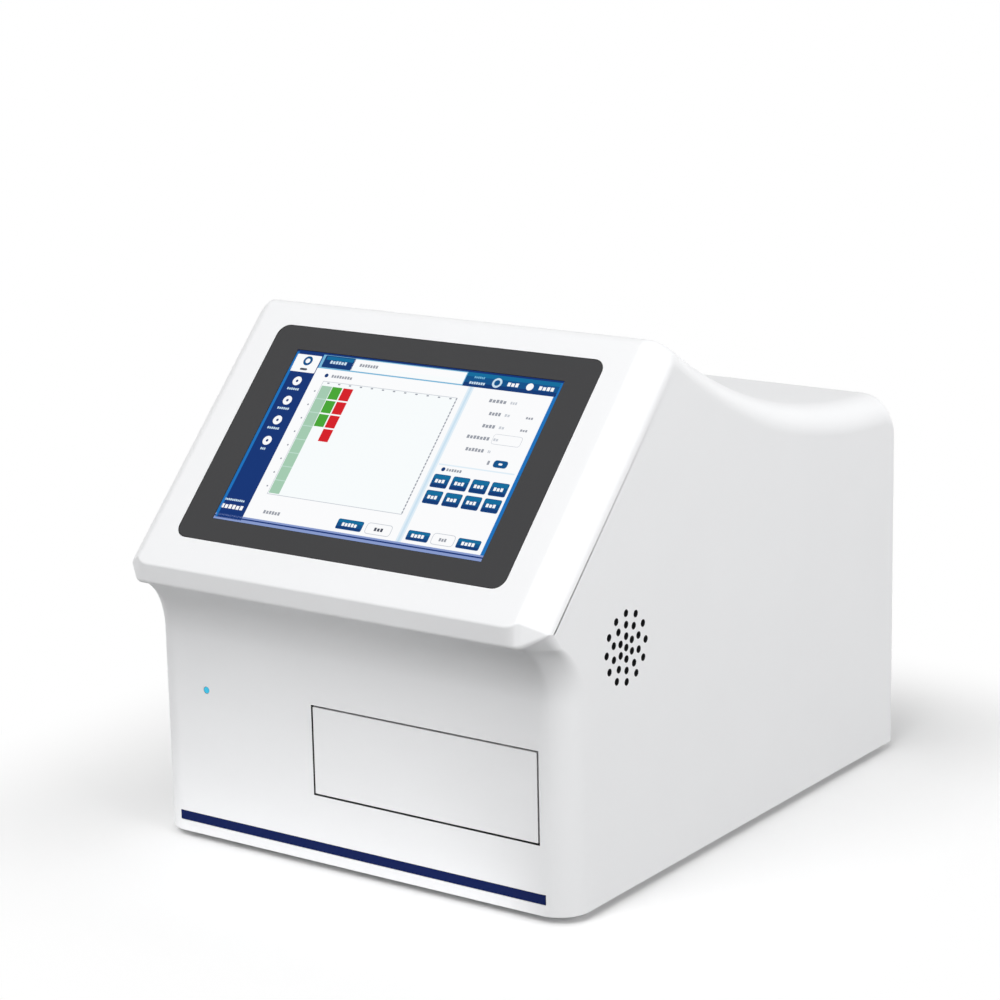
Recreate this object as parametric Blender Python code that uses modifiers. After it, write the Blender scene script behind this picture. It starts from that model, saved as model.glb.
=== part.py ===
"""Desktop microplate reader with a sloping touch screen and a plate drawer behind a hinged flap.

Units are metres and +Z is up. The front looks along -Y. The origin is on the bench, under the
middle of the whole reader. Profile points are given from the lower front face and the housing's
bottom edge, and body_y and body_z turn them into the part's own frame.
"""
import math

import bmesh
import bpy
from mathutils import Matrix, Vector

NAME = "microplate_reader"

# Whole reader
BODY_DEPTH = 0.423
LIP_REACH = 0.031
FOOT_HEIGHT = 0.005
WALL = 0.003
SEAT = 0.0003
OVERSHOOT = 0.010

# Side profile of the housing
UNDERCUT_DROP = 0.0421
UNDERCUT_RADIUS = 0.047
UNDERCUT_TURN = math.radians(60)
RIM_SETBACK = 0.004
RIM_HEIGHT = 0.1821
LIP_HEIGHT = 0.0139
FACE_TILT = math.radians(45.6)
CROWN_RADIUS = 0.0087
CROWN_RUN = 0.022
SADDLE_START = math.radians(31)
SADDLE_END = math.radians(2.5)
SADDLE_REST = 0.012
REAR_CORNER = 0.016

# Edges of the housing, across its width
FRONT_ROUND = 0.022
CROWN_ROUND = 0.013
SADDLE_ROUND = 0.021
REAR_ROUND = 0.002
CHAMFER_WIDTH = 0.016
CHAMFER_DEPTH = 0.014
LIP_CORNER = 0.010
RIM_RISE = 0.009

# Screen
LCD_WIDTH = 0.21696
LCD_HEIGHT = 0.1356
BEZEL_SIDE = 0.0234
BEZEL_BELOW = 0.0165
BEZEL_ABOVE = 0.0182
BEZEL_CORNER = 0.0085
BEZEL_THICK = 0.0022
BEZEL_FROM_LIP = 0.0242
BEZEL_FROM_CROWN = 0.0211
BEZEL_FROM_SIDE = 0.03712
BEZEL_GAP = 0.0004
LCD_RECESS = 0.0003
LCD_DEPTH = 0.0075
LCD_BORDER = 0.004
BRACKET_THICK = 0.0015
BRACKET_MARGIN = 0.009
BRACKET_CORNER = 0.006
SCREEN_BOSS_RADIUS = 0.004
SCREEN_BOSS_INSET = 0.0045
BOARD_THICK = 0.0016
BOARD_SPACER = 0.006
SPACER_RADIUS = 0.003
SPACER_INSET = 0.005
DISPLAY_BOARD_SHARE = 0.7

# Plate door
DOOR_FROM_SIDE = 0.0232
DOOR_WIDTH = 0.1774
DOOR_HEIGHT = 0.0593
DOOR_BOTTOM = 0.0479
DOOR_GAP = 0.001
HINGE_DROP = 0.012
HINGE_BEHIND = 0.0016
HINGE_BARREL = 0.00225
HINGE_PIN_RADIUS = 0.001
HINGE_PIN_REACH = 0.008
EAR_CLEAR = 0.001
EAR_SIZE = (0.006, 0.008, 0.014)

# Front face
STRIP_FROM_SIDE = 0.0185
STRIP_BOTTOM = 0.0078
STRIP_HEIGHT = 0.0063
STRIP_THICK = 0.0008
LED_FROM_SIDE = 0.0463
LED_HEIGHT = 0.1038
LED_RADIUS = 0.0022
LED_FLANGE = 0.0036
LED_LENGTH = 0.009

# Loudspeaker behind the right side wall
SPEAKER_Y = 0.0675
SPEAKER_DROP = 0.0205
GRILLE_COUNTS = (1, 6, 10, 12)
GRILLE_PITCH = 0.0075
GRILLE_HOLE = 0.0023
SPEAKER_RADIUS = 0.0285
SPEAKER_FRAME_DEPTH = 0.006
SPEAKER_RIM = 0.004
MAGNET_RADIUS = 0.015
MAGNET_LENGTH = 0.012
SPEAKER_DEPTH = 0.018
VOICE_COIL = 0.008
COIL_REACH = 0.004
CONE_THICK = 0.0024

# Rear wall
REAR_LINTEL = 0.0311
REAR_PANEL_THICK = 0.0015
REAR_PANEL_INSET = 0.005

# Base
BASE_THICK = 0.002
FOOT_RADIUS = 0.011
FOOT_TAPER = 0.0011
FOOT_INSET_X = 0.034
FOOT_INSET_FRONT = 0.040
FOOT_INSET_REAR = 0.040

# Plate drawer
DRAWER_FROM_SIDE = 0.1119
PLATE_LENGTH = 0.12776
PLATE_WIDTH = 0.08548
PLATE_SLACK = 0.0006
TRAY_RIM = 0.007
TRAY_LEDGE = 0.006
TRAY_BOTTOM = 0.058
TRAY_FLOOR = 0.003
TRAY_THICK = 0.009
TRAY_BEHIND_DOOR = 0.069
TRAY_TRAVEL = 0.165
TONGUE_LENGTH = 0.049
TONGUE_THICK = 0.004
BLOCK_WIDTH = 0.016
BLOCK_LENGTH = 0.040
BLOCK_TAIL = 0.002
ROD_RADIUS = 0.004
ROD_HEIGHT = 0.040
ROD_OUT = 0.072
CHASSIS_THICK = 0.003
CHASSIS_WALL = 0.004
CHASSIS_MARGIN = 0.0175
ROD_EAR = 0.012
TRAY_STOP = 0.003
PLATE_CORNER = 0.003
FINGER_NOTCH = 0.012
CLAMP_WIDTH = 0.012
CLAMP_LENGTH = 0.020

# Belt drive, left of the drawer
BELT_OUT = 0.096
BELT_WIDTH = 0.006
BELT_THICK = 0.0014
PULLEY_RADIUS = 0.006
PULLEY_FLANGE = 0.0085
PULLEY_WIDTH = 0.009
PULLEY_HEIGHT = 0.036
IDLER_BEHIND = 0.016
MOTOR_BEHIND_RODS = 0.0193
MOTOR_SIZE = 0.042
MOTOR_LENGTH = 0.034
MOTOR_CORNER = 0.0042
MOTOR_BOSS = 0.0105
SHAFT_RADIUS = 0.0025
RUNNING_GAP = 0.0005
AXLE_RADIUS = 0.002
CHEEK_THICK = 0.002
BRACKET_PLATE = 0.003

# Optics
READ_FROM_TRAY = 0.018
WELL_PITCH = 0.009
WELL_COLUMNS = 12
HEAD_LENGTH = 0.120
HEAD_DEPTH = 0.020
HEAD_HEIGHT = 0.022
PLATE_HEAD_GAP = 0.0035
PLATE_HEIGHT = 0.01435
BRIDGE_THICK = 0.003
BRIDGE_DEPTH = 0.030
DETECTOR_TOP = 0.055
WHEEL_BEHIND_MOTOR = 0.040
WHEEL_Z = 0.108
WHEEL_RADIUS = 0.046
WHEEL_THICK = 0.005
FILTER_RADIUS = 0.0065
FILTER_CIRCLE = 0.036
FILTER_COUNT = 8
WHEEL_MOTOR_SIZE = 0.028
WHEEL_MOTOR_LENGTH = 0.022
WHEEL_MOTOR_CORNER = 0.0035
MOUNT_WIDTH = 0.0644
ARM_MARGIN = 0.002
LAMP_RADIUS = 0.015
LAMP_LENGTH = 0.040
COLLIMATOR_RADIUS = 0.010
COLLIMATOR_LENGTH = 0.024
FIBRE_RADIUS = 0.003
WHEEL_CLEAR = 0.002
BRIDGE_CLEAR = 0.0025
LENS_RADIUS = 0.0025
DETECTOR_BAR = 0.006
DETECTOR_SHEET = 0.0015
LAMP_FINS = 4
LAMP_FIN = 0.002
LAMP_FIN_THICK = 0.002

# Electronics on the base
MAIN_BOARD_FROM_SIDE = 0.007
MAIN_BOARD_FROM_CHASSIS = 0.0066
MAIN_BOARD_FROM_FRONT = 0.028
MAIN_BOARD_FROM_SUPPLY = 0.022
CHIP_HEIGHT = 0.002
SUPPLY_FROM_SIDE = 0.003
SUPPLY_FROM_CHASSIS = 0.0026
SUPPLY_FROM_REAR = 0.0335
SUPPLY_LENGTH = 0.130
SUPPLY_HEIGHT = 0.040
SUPPLY_SLOTS = 8

# Chips on a board: across, along, width and length as shares of the board, and height in chips
MAIN_CHIPS = ((0.0, 0.15, 0.38, 0.12, 1), (-0.16, -0.15, 0.22, 0.09, 1), (0.19, -0.30, 0.32, 0.06, 4),
              (0.24, 0.375, 0.26, 0.10, 5), (-0.29, 0.35, 0.16, 0.12, 3))
DISPLAY_CHIPS = ((-0.23, 0.13, 0.145, 0.23, 1), (0.08, 0.17, 0.09, 0.15, 1), (0.26, -0.21, 0.12, 0.10, 2))

# Rear fittings
FAN_SIZE = 0.060
FAN_DEPTH = 0.015
FAN_FROM_SIDE = 0.021
FAN_Z = 0.150
FAN_BORE = 0.0275
FAN_HUB = 0.0125
FAN_BLADES = 7
FAN_SCREW_PITCH = 0.050
GUARD_RINGS = 3
INLET_X = -0.105
INLET_Z = 0.052
INLET_WIDTH = 0.0275
INLET_HEIGHT = 0.020
SWITCH_X = -0.055
SWITCH_WIDTH = 0.019
SWITCH_HEIGHT = 0.013
SWITCH_TILT = math.radians(8)
PORTS_X = 0.060
PORTS_Z = 0.052
PORTS_WIDTH = 0.070
PORTS_HEIGHT = 0.016
PORT_SOCKETS = ((-0.024, 0.014, 0.006), (-0.004, 0.012, 0.011), (0.020, 0.016, 0.012))
FAN_CORNER = 0.004
FAN_SPIDER = 0.002
FAN_STRUTS = 3
BLADE_THICK = 0.0012
BLADE_PITCH = math.radians(48)
GUARD_WIRE = 0.0006
GUARD_THICK = 0.0014
GUARD_EYE = 0.0034
FAN_SCREW_RADIUS = 0.0015
FAN_SCREW_HEAD = 0.0028
FAN_SCREW_HEAD_HEIGHT = 0.0018
FAN_SCREW_LENGTH = 0.010
FLANGE_THICK = 0.0025
FLANGE_RIM = 0.003
INLET_DEPTH = 0.018
SOCKET_WALL = 0.002
SOCKET_DEPTH = 0.014
PIN_PITCH = 0.007
PIN_SIZE = 0.002
PIN_SUNK = 0.0014
ROCKER_RADIUS = 0.006
ROCKER_SINK = 0.0015
ROCKER_THICK = 0.003
ROCKER_PIN_RADIUS = 0.001
ROCKER_PIN_REACH = 0.0012


def body_y(distance):
    """Turns a distance behind the lower front face into the part's Y."""
    return distance - (BODY_DEPTH + LIP_REACH) / 2 + LIP_REACH


def body_z(height):
    """Turns a height over the housing's bottom edge into the part's Z."""
    return height + FOOT_HEIGHT


def collection(name):
    made = bpy.data.collections.new(name)
    bpy.context.scene.collection.children.link(made)
    return made


for old in list(bpy.data.objects):
    bpy.data.objects.remove(old, do_unlink=True)
PARTS = collection(NAME)
CUTTERS = collection(NAME + "_cutters")


def material(name, colour, roughness, metallic=0.0):
    made = bpy.data.materials.new(name)
    made.use_nodes = True
    shader = made.node_tree.nodes["Principled BSDF"]
    shader.inputs["Base Color"].default_value = (*colour, 1.0)
    shader.inputs["Roughness"].default_value = roughness
    shader.inputs["Metallic"].default_value = metallic
    made.diffuse_color = (*colour, 1.0)
    return made


WHITE_ABS = material("white_abs", (0.86, 0.87, 0.88), 0.45)
DARK_BEZEL = material("dark_bezel", (0.06, 0.06, 0.065), 0.3)
NAVY_STRIP = material("navy_strip", (0.01, 0.02, 0.12), 0.35)
SCREEN = material("screen", (0.8, 0.85, 0.95), 0.15)
CYAN_LENS = material("cyan_lens", (0.02, 0.4, 0.6), 0.2)
STEEL_SHEET = material("steel_sheet", (0.55, 0.56, 0.57), 0.4, 1.0)
BRIGHT_STEEL = material("bright_steel", (0.7, 0.7, 0.7), 0.2, 1.0)
ALUMINIUM = material("aluminium", (0.75, 0.76, 0.77), 0.35, 1.0)
BLACK_ANODISED = material("black_anodised", (0.03, 0.03, 0.03), 0.4, 0.6)
BLACK_PLASTIC = material("black_plastic", (0.02, 0.02, 0.02), 0.45)
GREY_PLASTIC = material("grey_plastic", (0.25, 0.26, 0.27), 0.5)
RUBBER = material("rubber", (0.03, 0.03, 0.03), 0.8)
BOARD_GREEN = material("board_green", (0.01, 0.12, 0.05), 0.5)
PAPER_CONE = material("paper_cone", (0.05, 0.05, 0.05), 0.9)


def add_object(name, mesh, finish, centre=(0, 0, 0), matrix=None):
    """Places a mesh as one piece of the reader."""
    made = bpy.data.objects.new(name, mesh)
    PARTS.objects.link(made)
    if finish:
        mesh.materials.append(finish)
    made.matrix_world = matrix if matrix else Matrix.Translation(Vector(centre))
    return made


def mesh_from(build_mesh, name):
    mesh = bpy.data.meshes.new(name)
    bmesh.ops.recalc_face_normals(build_mesh, faces=build_mesh.faces)
    build_mesh.to_mesh(mesh)
    build_mesh.free()
    return mesh


def box(name, size, centre, finish=None, matrix=None, corner=0.0, steps=4, corner_axis=2):
    """A block, with its four edges along one axis rounded if a corner radius is given."""
    shape = bmesh.new()
    bmesh.ops.create_cube(shape, size=1.0)
    bmesh.ops.scale(shape, vec=Vector(size), verts=shape.verts)
    if corner:
        edges = []
        for edge in shape.edges:
            run = edge.verts[1].co - edge.verts[0].co
            if abs(run[corner_axis]) > size[corner_axis] / 2:
                edges.append(edge)
        bmesh.ops.bevel(shape, geom=edges, offset=corner, segments=steps, profile=0.5,
                        affect="EDGES", clamp_overlap=True)
    place = (matrix or Matrix.Identity(4)) @ Matrix.Translation(Vector(centre))
    return add_object(name, mesh_from(shape, name), finish, matrix=place)


def axis_turn(axis):
    """The turn that lays a cylinder's own Z along the named axis."""
    if axis == "X":
        return Matrix.Rotation(math.pi / 2, 4, "Y")
    if axis == "Y":
        return Matrix.Rotation(-math.pi / 2, 4, "X")
    return Matrix.Identity(4)


def cylinder(name, radius, length, centre, axis, finish=None, sides=24, top_radius=None, matrix=None):
    shape = bmesh.new()
    bmesh.ops.create_cone(shape, cap_ends=True, segments=sides, radius1=radius,
                          radius2=radius if top_radius is None else top_radius, depth=length)
    place = (matrix or Matrix.Identity(4)) @ Matrix.Translation(Vector(centre)) @ axis_turn(axis)
    made = add_object(name, mesh_from(shape, name), finish, matrix=place)
    made.data.shade_smooth()
    made.data.set_sharp_from_angle(angle=math.radians(40))
    return made


def use_as_cutter(tool):
    PARTS.objects.unlink(tool)
    CUTTERS.objects.link(tool)
    tool.hide_render = True
    tool.display_type = "WIRE"


def combine(target, tool, operation):
    step = target.modifiers.new(operation.lower() + "_" + tool.name, "BOOLEAN")
    step.operation = operation
    step.solver = "EXACT"
    step.object = tool
    use_as_cutter(tool)


def cut(target, *tools):
    for tool in tools:
        combine(target, tool, "DIFFERENCE")


def join(target, *tools):
    for tool in tools:
        combine(target, tool, "UNION")


# Housing outline

def meet(a, a_way, b, b_way):
    """The point where two lines cross, each given by a point and a direction."""
    cross = a_way.x * b_way.y - a_way.y * b_way.x
    gap = b - a
    along = (gap.x * b_way.y - gap.y * b_way.x) / cross
    return a + a_way * along


def way(angle):
    return Vector((math.cos(angle), math.sin(angle)))


def rounded_corner(before, corner, after, radius, steps):
    """Points of the arc that rounds a corner of an outline."""
    into = (corner - before).normalized()
    out = (after - corner).normalized()
    turn = into.angle_signed(out)
    reach = radius * math.tan(abs(turn) / 2)
    start = corner - into * reach
    side = 1 if turn < 0 else -1
    centre = start + Vector((-into.y, into.x)) * radius * side
    points = []
    for step in range(steps + 1):
        spoke = start - centre
        spoke.rotate(Matrix.Rotation(-turn * step / steps, 2))
        points.append(centre + spoke)
    return points


BEZEL_WIDTH = LCD_WIDTH + 2 * BEZEL_SIDE
BEZEL_HEIGHT = LCD_HEIGHT + BEZEL_BELOW + BEZEL_ABOVE
BEZEL_MIDDLE = BEZEL_HEIGHT / 2
LCD_MIDDLE = BEZEL_BELOW + LCD_HEIGHT / 2
WIDTH = BEZEL_WIDTH + 2 * BEZEL_FROM_SIDE
FACE_HALF = WIDTH / 2 - CHAMFER_WIDTH
FACE_LENGTH = BEZEL_FROM_LIP + BEZEL_HEIGHT + BEZEL_FROM_CROWN
UNDERCUT_START = RIM_HEIGHT - UNDERCUT_DROP
SPEAKER_Z = RIM_HEIGHT - SPEAKER_DROP
RIM_BOTTOM = Vector((-LIP_REACH + RIM_SETBACK, RIM_HEIGHT))
FACE_BOTTOM = RIM_BOTTOM + Vector((-RIM_SETBACK, LIP_HEIGHT))
FACE_WAY = way(FACE_TILT)
FACE_INWARD = Vector((FACE_WAY.y, -FACE_WAY.x))
CROWN = FACE_BOTTOM + FACE_WAY * FACE_LENGTH
SADDLE_WAY = way(-SADDLE_START)
SADDLE_INWARD = Vector((SADDLE_WAY.y, -SADDLE_WAY.x))
SADDLE_TOP = CROWN + SADDLE_WAY * CROWN_RUN
SADDLE_RUN = BODY_DEPTH - REAR_CORNER - SADDLE_REST - SADDLE_TOP.x
SADDLE_RADIUS = SADDLE_RUN / (math.sin(SADDLE_START) - math.sin(SADDLE_END))
SADDLE_CENTRE = SADDLE_TOP - SADDLE_INWARD * SADDLE_RADIUS
RIM_WAY = (FACE_BOTTOM - RIM_BOTTOM).normalized()
RIM_INWARD = Vector((RIM_WAY.y, -RIM_WAY.x))


def edge_round(x, half, radius):
    """How far a surface has fallen back at x, next to a side edge of the given radius."""
    past = x - (half - radius)
    if past <= 0 or radius <= 0:
        return 0.0
    return radius - math.sqrt(max(radius * radius - past * past, 0.0))


def face_chamfer(x, wall):
    """How far the screen face has fallen back at x, on the sloping band at each side."""
    steepness = CHAMFER_DEPTH / (WIDTH / 2 - FACE_HALF)
    start = FACE_HALF - wall * (math.hypot(1, steepness) - 1) / steepness
    return max(0.0, x - start) * steepness


def top_fall(x, wall, share):
    """How far the top has fallen at x, where its side round has grown by share from the crown on."""
    radius = CROWN_ROUND + (SADDLE_ROUND - CROWN_ROUND) * min(1.0, 2 * share)
    return wall + edge_round(x, WIDTH / 2 - wall, radius - wall)


def brow_rise(x, wall):
    """How far up the slope the face starts at x: up round its lower corner, then back down its side."""
    reach = LIP_CORNER + wall
    radius = math.sqrt(2) * reach
    past = min(max(x - (FACE_HALF - reach), 0.0), reach)
    rise = radius - math.sqrt(radius * radius - past * past)
    if x > FACE_HALF:
        rise *= (WIDTH / 2 - x) / CHAMFER_WIDTH
    return rise


def housing_outline(x, wall, fine, rear_end, bottom_end):
    """The closed side outline at a distance x from the middle, wall thickness in from the skin.

    rear_end holds the outline's last points behind the rear corner, from the top down.
    """
    half = WIDTH / 2 - wall
    front = wall + edge_round(x, half, FRONT_ROUND - wall)
    face = wall + face_chamfer(x, wall)
    top = top_fall(x, wall, 0.0)
    rear = wall + edge_round(x, half, max(REAR_ROUND - wall, 0.0))

    rim_line = RIM_BOTTOM + RIM_INWARD * face
    rise = RIM_RISE * (face - wall) / CHAMFER_DEPTH
    rim = meet(rim_line, RIM_WAY, RIM_BOTTOM + Vector((0, wall + rise)), Vector((1, 0)))
    brow = meet(rim_line, RIM_WAY, FACE_BOTTOM + FACE_INWARD * face, FACE_WAY)
    brow += FACE_WAY * brow_rise(x, wall)
    points = [Vector((front, bottom_end))]
    steps = 8 if fine else 4
    for step in range(steps):
        share = step / steps
        turn = UNDERCUT_TURN * share
        across = UNDERCUT_RADIUS * (math.cos(turn) - 1) + wall * math.cos(turn)
        up = UNDERCUT_START + (UNDERCUT_RADIUS + wall) * math.sin(turn)
        ease = share * share * (3 - 2 * share)
        side_turn = (front - wall) * (1 - ease) + (rim.x - RIM_BOTTOM.x) * ease
        points.append(Vector((across + side_turn, up)))
    points += [rim, brow]

    face_line = FACE_BOTTOM + FACE_INWARD * face
    saddle_line = SADDLE_TOP + SADDLE_INWARD * top
    crown = meet(face_line, FACE_WAY, saddle_line, SADDLE_WAY)
    saddle_start = SADDLE_CENTRE + SADDLE_INWARD * (SADDLE_RADIUS + top)
    crown_radius = CROWN_RADIUS - min(wall, CROWN_RADIUS / 2)
    points += rounded_corner(brow, crown, saddle_start, crown_radius, 4 if fine else 2)

    steps = 10 if fine else 5
    for step in range(steps + 1):
        fall = SADDLE_START + (SADDLE_END - SADDLE_START) * step / steps
        inward = Vector((-math.sin(fall), -math.cos(fall)))
        points.append(SADDLE_CENTRE + inward * (SADDLE_RADIUS + top_fall(x, wall, step / steps)))
    saddle_end = points[-1]
    corner = meet(saddle_end, way(-SADDLE_END), Vector((BODY_DEPTH - rear, 0)), Vector((0, 1)))
    points += rounded_corner(saddle_end, corner, corner - Vector((0, 1)), REAR_CORNER - wall,
                             6 if fine else 3)
    for y, z in rear_end(rear):
        points.append(Vector((y, z)))
    return points


def half_stations(wall, fine):
    """Distances from the middle at which the housing's outline changes."""
    steps = 6 if fine else 3
    half = WIDTH / 2 - wall
    radius = FRONT_ROUND - wall
    corner_steps = 3 if fine else 2
    found = []
    for step in range(corner_steps + 1):
        found.append(FACE_HALF - (LIP_CORNER + wall) * (1 - step / corner_steps))
    for step in range(2, steps + 1):
        turn = math.pi / 2 * step / steps
        found.append(half - radius * (1 - math.sin(turn)))
    return found


def loft(name, wall, fine, rear_end, bottom_end, finish=None):
    """A closed solid through the housing's outlines, from the left side to the right."""
    stations = half_stations(wall, fine)
    spread = [-x for x in reversed(stations)] + stations
    shape = bmesh.new()
    rings = []
    for x in spread:
        ring = []
        for point in housing_outline(abs(x), wall, fine, rear_end, bottom_end):
            ring.append(shape.verts.new((x, body_y(point.x), body_z(point.y))))
        rings.append(ring)
    for first, second in zip(rings, rings[1:]):
        for index in range(len(first)):
            after = (index + 1) % len(first)
            shape.faces.new((first[index], first[after], second[after], second[index]))
    shape.faces.new(rings[0])
    shape.faces.new(list(reversed(rings[-1])))
    return add_object(name, mesh_from(shape, name), finish)


SADDLE_LOW = SADDLE_CENTRE - Vector((math.sin(SADDLE_END), math.cos(SADDLE_END))) * SADDLE_RADIUS
REAR_TOP = meet(SADDLE_LOW, way(-SADDLE_END), Vector((BODY_DEPTH, 0)), Vector((0, 1))).y
REAR_OPENING_TOP = REAR_TOP - REAR_LINTEL
INNER_HALF = WIDTH / 2 - WALL
FRONT = body_y(0.0)
BACK = body_y(BODY_DEPTH)
BOTTOM = body_z(0.0)


def outer_rear(rear):
    return [(BODY_DEPTH - rear, 0.0)]


def inner_rear(rear):
    past = BODY_DEPTH + OVERSHOOT
    return [(BODY_DEPTH - rear, REAR_OPENING_TOP), (past, REAR_OPENING_TOP), (past, -OVERSHOOT)]


def room_inside(name):
    """The housing's inside, a seating gap clear of its walls."""
    return loft(name, WALL + SEAT, False, inner_rear, -OVERSHOOT)


def screen_frame():
    """Axes of the screen face: X across, Y up the slope, Z out of it, from its lower middle."""
    low = FACE_BOTTOM + FACE_WAY * BEZEL_FROM_LIP
    up_slope = Vector((0, FACE_WAY.x, FACE_WAY.y))
    outward = Vector((0, -FACE_WAY.y, FACE_WAY.x))
    across = Vector((1, 0, 0))
    turn = Matrix((across, up_slope, outward)).transposed().to_4x4()
    return Matrix.Translation((0, body_y(low.x), body_z(low.y))) @ turn


SCREEN_AXES = screen_frame()
DOOR_X = WIDTH / 2 - DOOR_FROM_SIDE - DOOR_WIDTH / 2
DRAWER_X = WIDTH / 2 - DRAWER_FROM_SIDE
LED_X = LED_FROM_SIDE - WIDTH / 2
STRIP_HALF = WIDTH / 2 - STRIP_FROM_SIDE
HINGE_Y = FRONT + WALL + HINGE_BEHIND
HINGE_Z = body_z(DOOR_BOTTOM + DOOR_HEIGHT) - HINGE_DROP


def grille_cutter():
    """Round sound holes in rings about the loudspeaker's axis, the first of each ring on top."""
    shape = bmesh.new()
    centre = Vector((WIDTH / 2, body_y(SPEAKER_Y), body_z(SPEAKER_Z)))
    for ring, count in enumerate(GRILLE_COUNTS):
        for index in range(count):
            turn = math.pi / 2 + 2 * math.pi * index / count
            reach = ring * GRILLE_PITCH
            spot = centre + Vector((0, reach * math.cos(turn), reach * math.sin(turn)))
            bmesh.ops.create_cone(shape, cap_ends=True, segments=12, radius1=GRILLE_HOLE,
                                  radius2=GRILLE_HOLE, depth=4 * WALL,
                                  matrix=Matrix.Translation(spot) @ axis_turn("X"))
    return add_object("grille_holes", mesh_from(shape, "grille_holes"), None)


def screen_bosses():
    """Four posts behind the screen face that the screen's bracket is screwed to."""
    posts = []
    length = LCD_DEPTH - WALL + SEAT
    for side in (-1, 1):
        for end in (0, 1):
            x = side * (BEZEL_WIDTH / 2 + SCREEN_BOSS_INSET)
            y = -SCREEN_BOSS_INSET if end == 0 else BEZEL_HEIGHT + SCREEN_BOSS_INSET
            name = "screen_boss_%d_%d" % (side + 1, end)
            z = -WALL - length / 2 + SEAT
            posts.append(cylinder(name, SCREEN_BOSS_RADIUS, length + SEAT, (x, y, z), "Z",
                                  None, 12, matrix=SCREEN_AXES))
    return posts


def door_opening():
    width = DOOR_WIDTH + 2 * DOOR_GAP
    height = DOOR_HEIGHT + 2 * DOOR_GAP
    return box("door_opening", (width, 4 * WALL, height),
               (DOOR_X, FRONT + WALL / 2, body_z(DOOR_BOTTOM + DOOR_HEIGHT / 2)))


def make_housing():
    """One moulded shell, open underneath and behind."""
    shell = loft("housing_shell", 0.0, True, outer_rear, 0.0, WHITE_ABS)
    hollow = loft("housing_hollow", WALL, False, inner_rear, -OVERSHOOT)
    window = box("screen_window",
                 (BEZEL_WIDTH + 2 * BEZEL_GAP, BEZEL_HEIGHT + 2 * BEZEL_GAP, 4 * WALL),
                 (0, BEZEL_MIDDLE, -WALL / 2), matrix=SCREEN_AXES, corner=BEZEL_CORNER + BEZEL_GAP)
    groove = box("strip_groove", (2 * (STRIP_HALF + SEAT), 2 * STRIP_THICK, STRIP_HEIGHT + 2 * SEAT),
                 (0, FRONT + SEAT, body_z(STRIP_BOTTOM + STRIP_HEIGHT / 2)))
    led_hole = cylinder("led_hole", LED_RADIUS + SEAT, 4 * WALL,
                        (LED_X, FRONT, body_z(LED_HEIGHT)), "Y", None, 16)
    cut(shell, hollow, window)
    join(shell, *screen_bosses())
    cut(shell, door_opening(), groove, led_hole, grille_cutter())
    return shell


# Screen

def circuit_board(name, size, chips, place):
    """A board with its chips and spacers soldered on, lying on its spacers' feet at the place."""
    width, length = size
    board_z = BOARD_SPACER + BOARD_THICK / 2
    board = box(name, (width, length, BOARD_THICK), (0, 0, board_z), BOARD_GREEN, place)
    for side in (-1, 1):
        for end in (-1, 1):
            spot = (side * (width / 2 - SPACER_INSET), end * (length / 2 - SPACER_INSET),
                    (BOARD_SPACER + SEAT) / 2)
            join(board, cylinder("%s_spacer_%d_%d" % (name, side + 1, end + 1), SPACER_RADIUS,
                                 BOARD_SPACER + SEAT, spot, "Z", None, 8, matrix=place))
    for index, (across, along, wide, long, heights) in enumerate(chips):
        tall = heights * CHIP_HEIGHT
        join(board, box("%s_chip_%d" % (name, index), (wide * width, long * length, tall + SEAT),
                        (across * width, along * length, board_z + (BOARD_THICK + tall - SEAT) / 2),
                        matrix=place))


def make_screen():
    """Touch panel frame, display, its bracket and its driver board, stacked behind the face."""
    bezel = box("touch_bezel", (BEZEL_WIDTH, BEZEL_HEIGHT, BEZEL_THICK),
                (0, BEZEL_MIDDLE, -BEZEL_THICK / 2), DARK_BEZEL, SCREEN_AXES, BEZEL_CORNER)
    cut(bezel, box("bezel_window", (LCD_WIDTH, LCD_HEIGHT, 4 * BEZEL_THICK),
                   (0, LCD_MIDDLE, 0), matrix=SCREEN_AXES))
    lcd = box("lcd_panel", (LCD_WIDTH - 2 * SEAT, LCD_HEIGHT - 2 * SEAT, LCD_DEPTH - LCD_RECESS),
              (0, LCD_MIDDLE, -(LCD_DEPTH + LCD_RECESS) / 2), SCREEN, SCREEN_AXES)
    back_depth = LCD_DEPTH - BEZEL_THICK - SEAT
    join(lcd, box("lcd_case", (LCD_WIDTH + 2 * LCD_BORDER, LCD_HEIGHT + 2 * LCD_BORDER, back_depth),
                  (0, LCD_MIDDLE, -LCD_DEPTH + back_depth / 2), matrix=SCREEN_AXES))
    depth = LCD_DEPTH + SEAT + BRACKET_THICK / 2
    bracket = box("lcd_bracket", (BEZEL_WIDTH + 2 * BRACKET_MARGIN, BEZEL_HEIGHT + 2 * BRACKET_MARGIN,
                                  BRACKET_THICK),
                  (0, BEZEL_MIDDLE, -depth), STEEL_SHEET, SCREEN_AXES, BRACKET_CORNER)
    cut(bracket, box("bracket_window", (LCD_WIDTH / 2, LCD_HEIGHT / 2, 4 * BRACKET_THICK),
                     (0, LCD_MIDDLE, -depth), matrix=SCREEN_AXES, corner=BRACKET_CORNER))
    make_display_board(depth + BRACKET_THICK / 2)


def make_display_board(behind):
    """The display's driver board, held off its bracket by spacers."""
    upside_down = Matrix.Translation((0, LCD_MIDDLE, -behind - SEAT)) @ Matrix.Rotation(math.pi, 4, "Y")
    circuit_board("display_board", (LCD_WIDTH * DISPLAY_BOARD_SHARE, LCD_HEIGHT * DISPLAY_BOARD_SHARE),
                  DISPLAY_CHIPS, SCREEN_AXES @ upside_down)


# Front face

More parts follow.
